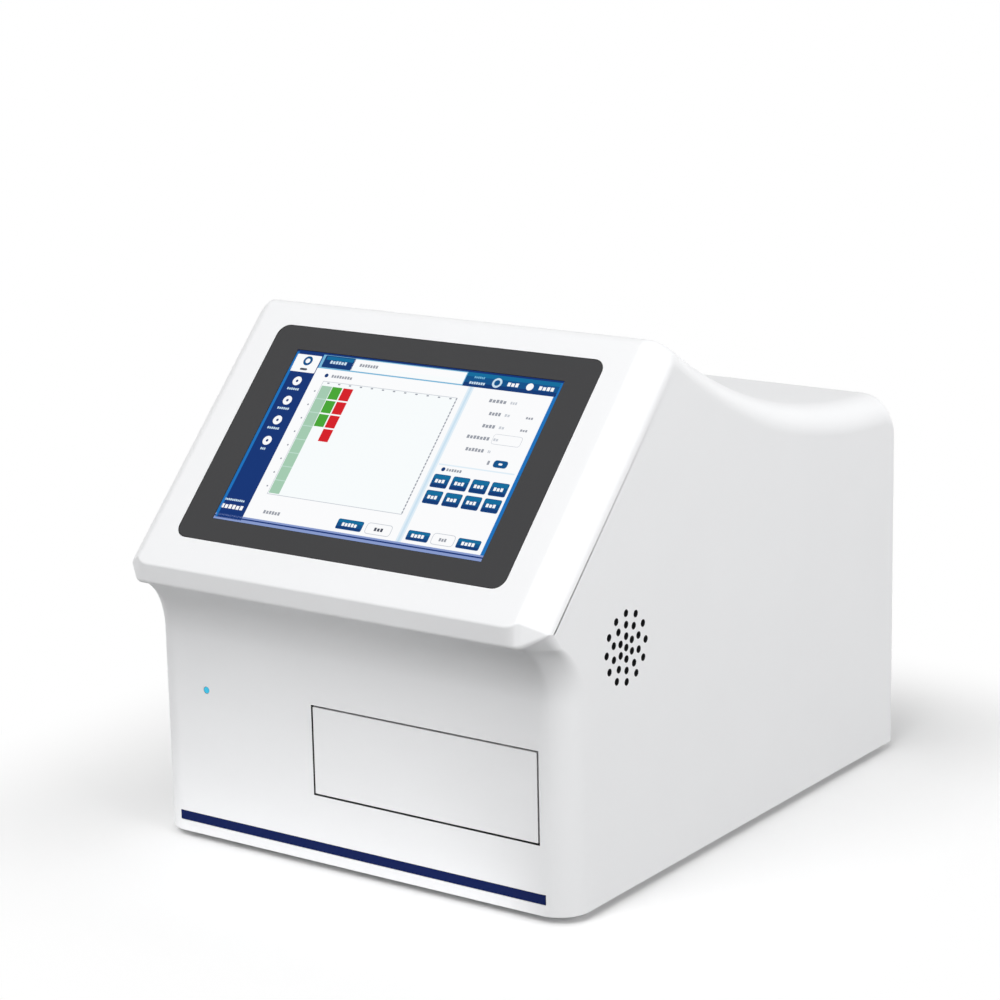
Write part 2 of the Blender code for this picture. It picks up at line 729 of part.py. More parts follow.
def make_front_trim():
    box("front_trim_strip", (2 * STRIP_HALF, STRIP_THICK, STRIP_HEIGHT),
        (0, FRONT + STRIP_THICK / 2, body_z(STRIP_BOTTOM + STRIP_HEIGHT / 2)), NAVY_STRIP)
    led = cylinder("status_led", LED_RADIUS, LED_LENGTH,
                   (LED_X, FRONT + LED_LENGTH / 2, body_z(LED_HEIGHT)), "Y", CYAN_LENS, 16)
    flange_length = LED_LENGTH - WALL - SEAT
    join(led, cylinder("led_flange", LED_FLANGE, flange_length,
                       (LED_X, FRONT + LED_LENGTH - flange_length / 2, body_z(LED_HEIGHT)),
                       "Y", None, 16))


def make_door():
    """A flush flap with a hinge barrel along its back, which turns on the ears beside it."""
    flap = box("door_flap", (DOOR_WIDTH, WALL, DOOR_HEIGHT),
               (DOOR_X, FRONT + WALL / 2, body_z(DOOR_BOTTOM + DOOR_HEIGHT / 2)), WHITE_ABS)
    join(flap, cylinder("door_barrel", HINGE_BARREL, DOOR_WIDTH,
                        (DOOR_X, HINGE_Y, HINGE_Z), "X", None, 16))
    for side, word in ((-1, "left"), (1, "right")):
        edge = DOOR_X + side * DOOR_WIDTH / 2
        cut(flap, cylinder("door_bore_" + word, HINGE_PIN_RADIUS + SEAT, 2 * HINGE_PIN_REACH + 2 * SEAT,
                           (edge, HINGE_Y, HINGE_Z), "X", None, 12))
        make_door_ear(side, word, edge)


def make_door_ear(side, word, edge):
    """A moulded ear bonded inside the front wall, with the pin that the flap turns on."""
    inner = edge + side * (DOOR_GAP + EAR_CLEAR)
    outer = inner + side * EAR_SIZE[0]
    ear = box("door_ear_" + word, EAR_SIZE,
              ((inner + outer) / 2, FRONT + WALL + SEAT + EAR_SIZE[1] / 2, HINGE_Z), GREY_PLASTIC)
    combine(ear, room_inside("ear_room_" + word), "INTERSECT")
    start = inner + side * EAR_CLEAR
    end = edge - side * HINGE_PIN_REACH
    join(ear, cylinder("door_pin_" + word, HINGE_PIN_RADIUS, abs(start - end),
                       ((start + end) / 2, HINGE_Y, HINGE_Z), "X", None, 12))


# Base and rear wall

def turned(name, profile, finish, place, steps=32):
    """A solid turned about its own Z from (radius, height) points down its outer side."""
    shape = bmesh.new()
    spots = [shape.verts.new((radius, 0, height)) for radius, height in profile]
    for first, second in zip(spots, spots[1:]):
        shape.edges.new((first, second))
    if profile[0][0] > 0:
        shape.edges.new((spots[-1], spots[0]))
    mesh = bpy.data.meshes.new(name)
    shape.to_mesh(mesh)
    shape.free()
    made = add_object(name, mesh, finish, matrix=place)
    spin = made.modifiers.new("turn", "SCREW")
    spin.steps = steps
    spin.render_steps = steps
    spin.use_merge_vertices = True
    spin.merge_threshold = 0.00001
    spin.use_smooth_shade = False
    return made


def at(x, y, z, axis="Z"):
    return Matrix.Translation((x, y, z)) @ axis_turn(axis)


BASE_TOP = BOTTOM + BASE_THICK
FLOOR = BASE_TOP + SEAT
PANEL_FRONT = BACK - REAR_PANEL_INSET - REAR_PANEL_THICK
PANEL_BACK = BACK - REAR_PANEL_INSET
PANEL_TOP = body_z(REAR_OPENING_TOP) - SEAT
FAN_X = INNER_HALF - FAN_FROM_SIDE - FAN_SIZE / 2


def make_base():
    """Folded steel floor of the housing on four rubber feet."""
    length = BODY_DEPTH - WALL
    base = box("base_plate", (2 * INNER_HALF, length, BASE_THICK),
               (0, FRONT + WALL + length / 2, BOTTOM + BASE_THICK / 2), STEEL_SHEET)
    combine(base, room_inside("base_room"), "INTERSECT")
    spots = ((-1, FRONT + FOOT_INSET_FRONT), (1, FRONT + FOOT_INSET_FRONT),
             (-1, BACK - FOOT_INSET_REAR), (1, BACK - FOOT_INSET_REAR))
    height = FOOT_HEIGHT - SEAT
    profile = [(0, height), (FOOT_RADIUS, height), (FOOT_RADIUS - FOOT_TAPER, 0), (0, 0)]
    for index, (side, y) in enumerate(spots):
        turned("foot_%d" % (index + 1), profile, RUBBER,
               at(side * (WIDTH / 2 - FOOT_INSET_X), y, 0), 24)


def make_rear_panel():
    """Flat steel rear wall with the openings for its fan, sockets and switch."""
    height = PANEL_TOP - FLOOR
    middle = (PANEL_FRONT + PANEL_BACK) / 2
    panel = box("rear_panel", (2 * (INNER_HALF - SEAT), REAR_PANEL_THICK, height),
                (0, middle, FLOOR + height / 2), STEEL_SHEET)
    deep = 6 * REAR_PANEL_THICK
    cut(panel,
        cylinder("fan_opening", FAN_BORE, deep, (FAN_X, middle, body_z(FAN_Z)), "Y", None, 32),
        box("inlet_opening", (INLET_WIDTH + 2 * SEAT, deep, INLET_HEIGHT + 2 * SEAT),
            (INLET_X, middle, body_z(INLET_Z))),
        box("switch_opening", (SWITCH_WIDTH + 2 * SEAT, deep, SWITCH_HEIGHT + 2 * SEAT),
            (SWITCH_X, middle, body_z(INLET_Z))),
        box("ports_opening", (PORTS_WIDTH + 2 * SEAT, deep, PORTS_HEIGHT + 2 * SEAT),
            (PORTS_X, middle, body_z(PORTS_Z))),
        screw_holes("panel_screw_holes"))


# Plate drawer

DRAWER_FRONT = FRONT + WALL + TRAY_BEHIND_DOOR
NEST_LENGTH = PLATE_LENGTH + 2 * PLATE_SLACK
NEST_WIDTH = PLATE_WIDTH + 2 * PLATE_SLACK
TRAY_LENGTH = NEST_LENGTH + 2 * TRAY_RIM
TRAY_WIDTH = NEST_WIDTH + 2 * TRAY_RIM
TRAY_MIDDLE = DRAWER_FRONT + TRAY_WIDTH / 2
TONGUE_FRONT = DRAWER_FRONT + TRAY_WIDTH
TONGUE_BACK = TONGUE_FRONT + TONGUE_LENGTH
BLOCK_BACK = TONGUE_BACK - BLOCK_TAIL
BLOCK_BOTTOM = ROD_HEIGHT - BLOCK_WIDTH / 2
ROD_FRONT = FRONT + WALL + SEAT
ROD_BACK = BLOCK_BACK + TRAY_STOP + ROD_EAR
BELT_X = DRAWER_X - BELT_OUT
IDLER_Y = FRONT + WALL + SEAT + IDLER_BEHIND
MOTOR_PULLEY_Y = ROD_BACK + MOTOR_BEHIND_RODS
CHASSIS_LEFT = BELT_X - MOTOR_LENGTH - CHASSIS_MARGIN
CHASSIS_RIGHT = DRAWER_X + ROD_OUT + CHASSIS_MARGIN
CHASSIS_BACK = MOTOR_PULLEY_Y + MOTOR_SIZE / 2 + CHASSIS_WALL
CHASSIS_TOP = FLOOR + CHASSIS_THICK


def make_tray():
    """The drawer that a microplate lies in, with a wide tongue behind it for its bearings."""
    tray = box("plate_tray", (TRAY_LENGTH, TRAY_WIDTH, TRAY_THICK),
               (DRAWER_X, TRAY_MIDDLE, TRAY_BOTTOM + TRAY_THICK / 2), BLACK_ANODISED,
               corner=TRAY_RIM / 2)
    left = BELT_X - CLAMP_WIDTH / 2
    right = DRAWER_X + ROD_OUT + BLOCK_WIDTH / 2
    join(tray, box("tray_tongue", (right - left, TONGUE_LENGTH + TRAY_RIM / 2, TONGUE_THICK),
                   ((left + right) / 2, TONGUE_FRONT + (TONGUE_LENGTH - TRAY_RIM / 2) / 2,
                    TRAY_BOTTOM + TONGUE_THICK / 2)))
    nest_depth = TRAY_THICK - TRAY_FLOOR
    cut(tray,
        box("tray_nest", (NEST_LENGTH, NEST_WIDTH, 2 * nest_depth),
            (DRAWER_X, TRAY_MIDDLE, TRAY_BOTTOM + TRAY_THICK), corner=PLATE_CORNER),
        box("tray_window", (NEST_LENGTH - 2 * TRAY_LEDGE, NEST_WIDTH - 2 * TRAY_LEDGE, 4 * TRAY_THICK),
            (DRAWER_X, TRAY_MIDDLE, TRAY_BOTTOM)))
    for side in (-1, 1):
        cut(tray, cylinder("finger_notch_%d" % (side + 1), FINGER_NOTCH, 4 * TRAY_RIM,
                           (DRAWER_X + side * TRAY_LENGTH / 2, TRAY_MIDDLE,
                            TRAY_BOTTOM + TRAY_THICK + FINGER_NOTCH / 2), "X", None, 20))


def make_bearings():
    """Linear bearing blocks under the tongue, and the round rods that they run on."""
    height = TRAY_BOTTOM - SEAT - BLOCK_BOTTOM
    length = ROD_BACK - ROD_FRONT
    for side, word in ((-1, "left"), (1, "right")):
        x = DRAWER_X + side * ROD_OUT
        block = box("bearing_block_" + word, (BLOCK_WIDTH, BLOCK_LENGTH, height),
                    (x, BLOCK_BACK - BLOCK_LENGTH / 2, BLOCK_BOTTOM + height / 2), ALUMINIUM)
        cut(block, cylinder("block_bore_" + word, ROD_RADIUS + SEAT, 2 * BLOCK_LENGTH,
                            (x, BLOCK_BACK - BLOCK_LENGTH / 2, ROD_HEIGHT), "Y", None, 24))
        cylinder("guide_rod_" + word, ROD_RADIUS, length, (x, ROD_FRONT + length / 2, ROD_HEIGHT),
                 "Y", BRIGHT_STEEL, 24)


def make_chassis():
    """Floor of the drawer's mechanism, with the walls and ears that hold its rods and idler."""
    length = CHASSIS_BACK - ROD_FRONT
    chassis = box("slide_chassis", (CHASSIS_RIGHT - CHASSIS_LEFT, length, CHASSIS_THICK),
                  ((CHASSIS_LEFT + CHASSIS_RIGHT) / 2, ROD_FRONT + length / 2,
                   FLOOR + CHASSIS_THICK / 2), STEEL_SHEET)
    wall_top = ROD_HEIGHT + ROD_EAR / 2 + ROD_RADIUS
    wall_height = wall_top - FLOOR
    join(chassis, box("chassis_front", (2 * ROD_OUT + 2 * ROD_EAR, CHASSIS_WALL, wall_height),
                      (DRAWER_X, ROD_FRONT + CHASSIS_WALL / 2, FLOOR + wall_height / 2)))
    for side in (-1, 1):
        x = DRAWER_X + side * ROD_OUT
        join(chassis, box("rod_ear_%d" % (side + 1), (ROD_EAR + 2 * ROD_RADIUS, ROD_EAR, wall_height),
                          (x, ROD_BACK - ROD_EAR / 2, FLOOR + wall_height / 2)))
        cut(chassis, cylinder("rod_hole_%d" % (side + 1), ROD_RADIUS + SEAT, 2 * length,
                              (x, ROD_FRONT + length / 2, ROD_HEIGHT), "Y", None, 24))
        cheek_height = PULLEY_HEIGHT + 2 * AXLE_RADIUS - FLOOR
        cheek_x = BELT_X + side * (PULLEY_WIDTH / 2 + RUNNING_GAP + CHEEK_THICK / 2)
        join(chassis, box("idler_cheek_%d" % (side + 1), (CHEEK_THICK, 4 * AXLE_RADIUS, cheek_height),
                          (cheek_x, IDLER_Y, FLOOR + cheek_height / 2)))
    cut(chassis, cylinder("axle_hole", AXLE_RADIUS + SEAT, 4 * PULLEY_WIDTH,
                          (BELT_X, IDLER_Y, PULLEY_HEIGHT), "X", None, 12))


# Belt drive

def extruded(name, outline, thickness, finish, place):
    """A flat piece cut to an outline in its own XY plane, its thickness centred on it."""
    shape = bmesh.new()
    spots = [shape.verts.new((x, y, -thickness / 2)) for x, y in outline]
    face = shape.faces.new(spots)
    grown = bmesh.ops.extrude_face_region(shape, geom=[face])
    lifted = [item for item in grown["geom"] if isinstance(item, bmesh.types.BMVert)]
    bmesh.ops.translate(shape, vec=Vector((0, 0, thickness)), verts=lifted)
    return add_object(name, mesh_from(shape, name), finish, matrix=place)


def run_round(length, radius, steps=10):
    """Outline of a loop with round ends, its length between the two centres along X."""
    points = []
    for end in (0, 1):
        for step in range(steps + 1):
            turn = math.pi * (end - 0.5) + math.pi * step / steps
            points.append(((0.5 - end) * length + radius * math.cos(turn), radius * math.sin(turn)))
    return points


def pulley(name, x, y, finish):
    """A toothed belt's pulley between two flanges, drawn smooth."""
    groove = BELT_WIDTH + 2 * SEAT
    rim = (PULLEY_WIDTH - groove) / 2
    made = cylinder(name, PULLEY_RADIUS, PULLEY_WIDTH - rim, (x, y, PULLEY_HEIGHT), "X", finish, 24)
    for side in (-1, 1):
        spot = x + side * (groove + rim) / 2
        join(made, cylinder("%s_flange_%d" % (name, side + 1), PULLEY_FLANGE, rim,
                            (spot, y, PULLEY_HEIGHT), "X", None, 24))
    return made


def make_belt_drive():
    length = MOTOR_PULLEY_Y - IDLER_Y
    middle = (MOTOR_PULLEY_Y + IDLER_Y) / 2
    upright = Matrix.Translation((BELT_X, middle, PULLEY_HEIGHT)) @ Matrix.Rotation(
        math.pi / 2, 4, "Z") @ Matrix.Rotation(math.pi / 2, 4, "X")
    inner = PULLEY_RADIUS + SEAT
    belt = extruded("drive_belt", run_round(length, inner + BELT_THICK), BELT_WIDTH, RUBBER, upright)
    cut(belt, extruded("belt_inside", run_round(length, inner), 2 * BELT_WIDTH, None, upright))
    clamp_bottom = PULLEY_HEIGHT + inner + BELT_THICK + SEAT
    clamp_height = TRAY_BOTTOM - SEAT - clamp_bottom
    box("belt_clamp", (CLAMP_WIDTH, CLAMP_LENGTH, clamp_height),
        (BELT_X, TONGUE_FRONT + TONGUE_LENGTH / 2, clamp_bottom + clamp_height / 2), ALUMINIUM)
    idler = pulley("idler_pulley", BELT_X, IDLER_Y, ALUMINIUM)
    cut(idler, cylinder("idler_bore", AXLE_RADIUS + SEAT, 2 * PULLEY_WIDTH,
                        (BELT_X, IDLER_Y, PULLEY_HEIGHT), "X", None, 16))
    axle_length = PULLEY_WIDTH + 2 * RUNNING_GAP + 2 * CHEEK_THICK
    cylinder("idler_axle", AXLE_RADIUS, axle_length, (BELT_X, IDLER_Y, PULLEY_HEIGHT), "X",
             BRIGHT_STEEL, 16)
    make_motor()


def make_motor():
    """Stepper motor on its angle bracket, and the pulley on its shaft."""
    face = BELT_X - PULLEY_WIDTH / 2 - RUNNING_GAP
    plate_x = face - BRACKET_PLATE / 2
    plate_height = PULLEY_HEIGHT + MOTOR_SIZE / 2 - CHASSIS_TOP - SEAT
    bracket = box("motor_bracket", (BRACKET_PLATE, MOTOR_SIZE, plate_height),
                  (plate_x, MOTOR_PULLEY_Y, CHASSIS_TOP + SEAT + plate_height / 2), STEEL_SHEET)
    join(bracket, box("motor_foot", (PULLEY_WIDTH + BRACKET_PLATE, MOTOR_SIZE, BRACKET_PLATE),
                      (face + PULLEY_WIDTH / 2 - BRACKET_PLATE / 2, MOTOR_PULLEY_Y,
                       CHASSIS_TOP + SEAT + BRACKET_PLATE / 2)))
    cut(bracket, cylinder("bracket_hole", MOTOR_BOSS, 4 * BRACKET_PLATE,
                          (plate_x, MOTOR_PULLEY_Y, PULLEY_HEIGHT), "X", None, 20))
    motor_x = face - BRACKET_PLATE - SEAT - MOTOR_LENGTH / 2
    motor = box("slide_motor", (MOTOR_LENGTH, MOTOR_SIZE, MOTOR_SIZE),
                (motor_x, MOTOR_PULLEY_Y, PULLEY_HEIGHT), BLACK_ANODISED,
                corner=MOTOR_CORNER, steps=2, corner_axis=0)
    shaft_length = PULLEY_WIDTH + RUNNING_GAP + BRACKET_PLATE + MOTOR_LENGTH / 2
    shaft_x = BELT_X + PULLEY_WIDTH / 2 - shaft_length / 2
    cut(motor, cylinder("motor_bore", SHAFT_RADIUS + SEAT, MOTOR_LENGTH + 4 * SEAT,
                        (motor_x + MOTOR_LENGTH / 2, MOTOR_PULLEY_Y, PULLEY_HEIGHT), "X", None, 12))
    wheel = pulley("motor_pulley", BELT_X, MOTOR_PULLEY_Y, ALUMINIUM)
    join(wheel, cylinder("motor_shaft", SHAFT_RADIUS, shaft_length,
                         (shaft_x, MOTOR_PULLEY_Y, PULLEY_HEIGHT), "X", None, 12))


# Optics

READ_Y = DRAWER_FRONT + READ_FROM_TRAY
HEAD_BOTTOM = TRAY_BOTTOM + TRAY_FLOOR + PLATE_HEIGHT + PLATE_HEAD_GAP
HEAD_TOP = HEAD_BOTTOM + HEAD_HEIGHT
LAMP_Z = WHEEL_Z + FILTER_CIRCLE
WHEEL_Y = MOTOR_PULLEY_Y + WHEEL_BEHIND_MOTOR
MOUNT_FRONT = WHEEL_Y + WHEEL_THICK / 2 + WHEEL_CLEAR
MOUNT_BACK = MOUNT_FRONT + BRIDGE_THICK
COLLIMATOR_BACK = WHEEL_Y - WHEEL_THICK / 2 - WHEEL_CLEAR
COLLIMATOR_FRONT = COLLIMATOR_BACK - COLLIMATOR_LENGTH


def well_bores(name, radius, depth, z):
    """One hole for each column of wells, in a row across the plate."""
    shape = bmesh.new()
    for column in range(WELL_COLUMNS):
        x = DRAWER_X + (column - (WELL_COLUMNS - 1) / 2) * WELL_PITCH
        bmesh.ops.create_cone(shape, cap_ends=True, segments=10, radius1=radius, radius2=radius,
                              depth=depth, matrix=Matrix.Translation((x, READ_Y, z)))
    return add_object(name, mesh_from(shape, name), None)


def make_reading_head():
    """Bridge over the drawer with the fibre head under it, and the detectors below the drawer."""
    plate_bottom = HEAD_TOP + SEAT
    left = BELT_X - CLAMP_WIDTH / 2 - BRIDGE_CLEAR
    right = DRAWER_X + ROD_OUT + BLOCK_WIDTH / 2 + BRIDGE_CLEAR
    bridge = box("optics_bridge", (right - left + 2 * BRIDGE_THICK, BRIDGE_DEPTH, BRIDGE_THICK),
                 ((left + right) / 2, READ_Y, plate_bottom + BRIDGE_THICK / 2), ALUMINIUM)
    leg_bottom = CHASSIS_TOP + SEAT
    leg_height = plate_bottom + BRIDGE_THICK - leg_bottom
    for side, x in ((0, left - BRIDGE_THICK / 2), (1, right + BRIDGE_THICK / 2)):
        join(bridge, box("bridge_leg_%d" % side, (BRIDGE_THICK, BRIDGE_DEPTH, leg_height),
                         (x, READ_Y, leg_bottom + leg_height / 2)))
    cut(bridge, cylinder("bundle_hole", 2 * FIBRE_RADIUS, 4 * BRIDGE_THICK,
                         (DRAWER_X, READ_Y, plate_bottom), "Z", None, 16))
    head = box("fibre_head", (HEAD_LENGTH, HEAD_DEPTH, HEAD_HEIGHT),
               (DRAWER_X, READ_Y, (HEAD_BOTTOM + HEAD_TOP) / 2), BLACK_ANODISED)
    cut(head, well_bores("head_bores", LENS_RADIUS, HEAD_HEIGHT, HEAD_BOTTOM))

    bar_bottom = DETECTOR_TOP - DETECTOR_BAR
    bar = box("detector_bar", (HEAD_LENGTH, HEAD_DEPTH, DETECTOR_BAR),
              (DRAWER_X, READ_Y, (DETECTOR_TOP + bar_bottom) / 2), BLACK_ANODISED)
    cut(bar, well_bores("detector_bores", LENS_RADIUS, 4 * DETECTOR_BAR, DETECTOR_TOP))
    board_z = bar_bottom - SEAT - BOARD_THICK / 2
    box("detector_board", (HEAD_LENGTH, BRIDGE_DEPTH, BOARD_THICK), (DRAWER_X, READ_Y, board_z),
        BOARD_GREEN)
    shelf_top = board_z - BOARD_THICK / 2 - SEAT
    bracket = box("detector_bracket", (HEAD_LENGTH, BRIDGE_DEPTH, DETECTOR_SHEET),
                  (DRAWER_X, READ_Y, shelf_top - DETECTOR_SHEET / 2), STEEL_SHEET)
    leg_height = shelf_top - leg_bottom
    for side in (-1, 1):
        x = DRAWER_X + side * (HEAD_LENGTH - DETECTOR_SHEET) / 2
        join(bracket, box("detector_leg_%d" % (side + 1), (DETECTOR_SHEET, BRIDGE_DEPTH, leg_height),
                          (x, READ_Y, leg_bottom + leg_height / 2)))


def make_optics_mount():
    """Upright that carries the lamp, the filter wheel's motor and, on its arm, the collimator."""
    top = LAMP_Z + LAMP_RADIUS + BRIDGE_THICK
    height = top - FLOOR
    middle = (MOUNT_FRONT + MOUNT_BACK) / 2
    mount = box("optics_mount", (MOUNT_WIDTH, BRIDGE_THICK, height),
                (DRAWER_X, middle, FLOOR + height / 2), ALUMINIUM)
    foot = WHEEL_MOTOR_LENGTH + BRIDGE_THICK
    join(mount, box("mount_foot", (MOUNT_WIDTH, foot, BRIDGE_THICK),
                    (DRAWER_X, MOUNT_FRONT + foot / 2, FLOOR + BRIDGE_THICK / 2)))
    arm_front = COLLIMATOR_FRONT + COLLIMATOR_LENGTH / 2
    arm_width = 2 * (COLLIMATOR_RADIUS + ARM_MARGIN)
    join(mount, box("mount_arm", (arm_width, MOUNT_BACK - arm_front, BRIDGE_THICK),
                    (DRAWER_X, (arm_front + MOUNT_BACK) / 2, top - BRIDGE_THICK / 2)))
    cheek_bottom = LAMP_Z - COLLIMATOR_RADIUS - BRIDGE_THICK
    join(mount, box("mount_cheek", (arm_width, BRIDGE_THICK, top - cheek_bottom),
                    (DRAWER_X, arm_front + BRIDGE_THICK / 2, (top + cheek_bottom) / 2)))
    cut(mount,
        cylinder("collimator_hole", COLLIMATOR_RADIUS + SEAT, 2 * BRIDGE_THICK,
                 (DRAWER_X, arm_front + BRIDGE_THICK / 2, LAMP_Z), "Y", None, 24),
        cylinder("lamp_hole", FILTER_RADIUS, 2 * BRIDGE_THICK, (DRAWER_X, middle, LAMP_Z), "Y",
                 None, 16),
        cylinder("wheel_shaft_hole", 2 * SHAFT_RADIUS, 2 * BRIDGE_THICK,
                 (DRAWER_X, middle, WHEEL_Z), "Y", None, 16))
    collimator = cylinder("collimator", COLLIMATOR_RADIUS, COLLIMATOR_LENGTH,
                          (DRAWER_X, COLLIMATOR_FRONT + COLLIMATOR_LENGTH / 2, LAMP_Z), "Y",
                          BLACK_ANODISED, 24)
    cut(collimator, cylinder("collimator_bore", FIBRE_RADIUS + SEAT, 4 * COLLIMATOR_LENGTH,
                             (DRAWER_X, COLLIMATOR_FRONT, LAMP_Z), "Y", None, 16))


def make_filter_wheel():
    """Disc of interference filters on its motor's shaft, and the lamp behind its top filter."""
    wheel = cylinder("filter_wheel", WHEEL_RADIUS, WHEEL_THICK, (DRAWER_X, WHEEL_Y, WHEEL_Z), "Y",
                     BLACK_ANODISED, 48)
    pockets = bmesh.new()
    for index in range(FILTER_COUNT):
        turn = math.pi / 2 + 2 * math.pi * index / FILTER_COUNT
        spot = Vector((DRAWER_X + FILTER_CIRCLE * math.cos(turn), WHEEL_Y,
                       WHEEL_Z + FILTER_CIRCLE * math.sin(turn)))
        bmesh.ops.create_cone(pockets, cap_ends=True, segments=16, radius1=FILTER_RADIUS,
                              radius2=FILTER_RADIUS, depth=4 * WHEEL_THICK,
                              matrix=Matrix.Translation(spot) @ axis_turn("Y"))
    cut(wheel, add_object("filter_pockets", mesh_from(pockets, "filter_pockets"), None))
    motor_front = MOUNT_BACK + SEAT
    shaft_end = motor_front + WHEEL_MOTOR_LENGTH / 2
    shaft_length = shaft_end - WHEEL_Y
    join(wheel, cylinder("wheel_shaft", SHAFT_RADIUS, shaft_length,
                         (DRAWER_X, WHEEL_Y + shaft_length / 2, WHEEL_Z), "Y", None, 12))
    motor = box("filter_motor", (WHEEL_MOTOR_SIZE, WHEEL_MOTOR_LENGTH, WHEEL_MOTOR_SIZE),
                (DRAWER_X, motor_front + WHEEL_MOTOR_LENGTH / 2, WHEEL_Z), BLACK_ANODISED,
                corner=WHEEL_MOTOR_CORNER, steps=2, corner_axis=1)
    cut(motor, cylinder("wheel_motor_bore", SHAFT_RADIUS + SEAT, WHEEL_MOTOR_LENGTH + 4 * SEAT,
                        (DRAWER_X, motor_front, WHEEL_Z), "Y", None, 12))
    lamp = cylinder("lamp_housing", LAMP_RADIUS, LAMP_LENGTH,
                    (DRAWER_X, motor_front + LAMP_LENGTH / 2, LAMP_Z), "Y", ALUMINIUM, 20)
    for index in range(LAMP_FINS):
        y = motor_front + LAMP_LENGTH * (index + 1) / (LAMP_FINS + 1)
        join(lamp, cylinder("lamp_fin_%d" % index, LAMP_RADIUS + LAMP_FIN, LAMP_FIN_THICK,
                            (DRAWER_X, y, LAMP_Z), "Y", None, 20))
    cut(lamp, cylinder("lamp_throat", FILTER_RADIUS, LAMP_LENGTH,
                       (DRAWER_X, motor_front, LAMP_Z), "Y", None, 16))


def make_fibre_bundle():
    """The bundle of fibres from the collimator down to the head, as one smooth curve."""
    start = Vector((DRAWER_X, COLLIMATOR_FRONT + COLLIMATOR_LENGTH / 2, LAMP_Z))
    end = Vector((DRAWER_X, READ_Y, HEAD_TOP + SEAT))
    lead = (start.y - end.y) / 2
    guides = (start, start - Vector((0, lead, 0)), end + Vector((0, 0, lead)), end)
    line = bpy.data.curves.new("fibre_bundle", "CURVE")
    line.dimensions = "3D"
    line.bevel_depth = FIBRE_RADIUS
    line.bevel_resolution = 2
    line.use_fill_caps = True
    spline = line.splines.new("POLY")
    steps = 24
    spline.points.add(steps)
    for step in range(steps + 1):
        t = step / steps
        weights = ((1 - t) ** 3, 3 * t * (1 - t) ** 2, 3 * t * t * (1 - t), t ** 3)
        spot = sum((guide * weight for guide, weight in zip(guides, weights)), Vector())
        spline.points[step].co = (*spot, 1.0)
    add_object("fibre_bundle", line, BLACK_PLASTIC)


# Electronics on the base

SUPPLY_BACK = PANEL_FRONT - SUPPLY_FROM_REAR
SUPPLY_FRONT = SUPPLY_BACK - SUPPLY_LENGTH


def make_main_board():
    """The main circuit board, in the room left of the drawer's chassis."""
    left = MAIN_BOARD_FROM_SIDE - INNER_HALF
    right = CHASSIS_LEFT - MAIN_BOARD_FROM_CHASSIS
    near = FRONT + WALL + MAIN_BOARD_FROM_FRONT
    far = SUPPLY_FRONT - MAIN_BOARD_FROM_SUPPLY
    circuit_board("main_board", (right - left, far - near), MAIN_CHIPS,
                  at((left + right) / 2, (near + far) / 2, FLOOR))


def make_power_supply():
    """Caged power supply with a row of cooling slots along its top."""
    left = SUPPLY_FROM_SIDE - INNER_HALF
    right = CHASSIS_LEFT - SUPPLY_FROM_CHASSIS
    x = (left + right) / 2
    supply = box("power_supply", (right - left, SUPPLY_LENGTH, SUPPLY_HEIGHT),
                 (x, (SUPPLY_FRONT + SUPPLY_BACK) / 2, FLOOR + SUPPLY_HEIGHT / 2), STEEL_SHEET)
    pitch = SUPPLY_LENGTH / SUPPLY_SLOTS
    for index in range(SUPPLY_SLOTS):
        cut(supply, box("supply_slot_%d" % index, ((right - left) / 2, pitch / 2, SUPPLY_HEIGHT / 4),
                        (x, SUPPLY_FRONT + (index + 0.5) * pitch, FLOOR + SUPPLY_HEIGHT)))


# Loudspeaker

def make_speaker():
    """Round loudspeaker against the side wall: its basket, its cone with its coil, its magnet."""
    wall_x = INNER_HALF - SEAT
    y = body_y(SPEAKER_Y)
    z = body_z(SPEAKER_Z)
    inward = Matrix.Translation((wall_x, y, z)) @ Matrix.Rotation(-math.pi / 2, 4, "Y")
    opening = SPEAKER_RADIUS - SPEAKER_RIM
    depth = SPEAKER_DEPTH
    sheet = BRACKET_THICK
    basket = [(MAGNET_RADIUS, depth), (SPEAKER_RADIUS, SPEAKER_FRAME_DEPTH), (SPEAKER_RADIUS, 0),
              (opening, 0), (opening, SPEAKER_FRAME_DEPTH - sheet), (MAGNET_RADIUS, depth - sheet),
              (VOICE_COIL + RUNNING_GAP, depth - sheet), (VOICE_COIL + RUNNING_GAP, depth)]
    turned("speaker_frame", basket, STEEL_SHEET, inward, 24)
    inside = opening - SEAT
    top = depth + COIL_REACH
    cone = [(0, top), (VOICE_COIL, top), (VOICE_COIL, depth - 2 * sheet), (inside, 2 * sheet),
            (inside, SEAT), (inside - sheet, SEAT), (VOICE_COIL - CONE_THICK, depth - 3 * sheet),
            (0, depth - 4 * sheet)]
    turned("speaker_cone", cone, PAPER_CONE, inward, 24)
    gap = VOICE_COIL + RUNNING_GAP
    magnet = [(0, depth + SEAT + MAGNET_LENGTH), (MAGNET_RADIUS, depth + SEAT + MAGNET_LENGTH),
              (MAGNET_RADIUS, depth + SEAT), (gap, depth + SEAT), (gap, top + RUNNING_GAP),
              (0, top + RUNNING_GAP)]
    turned("speaker_magnet", magnet, BLACK_PLASTIC, inward, 24)


# Rear fittings

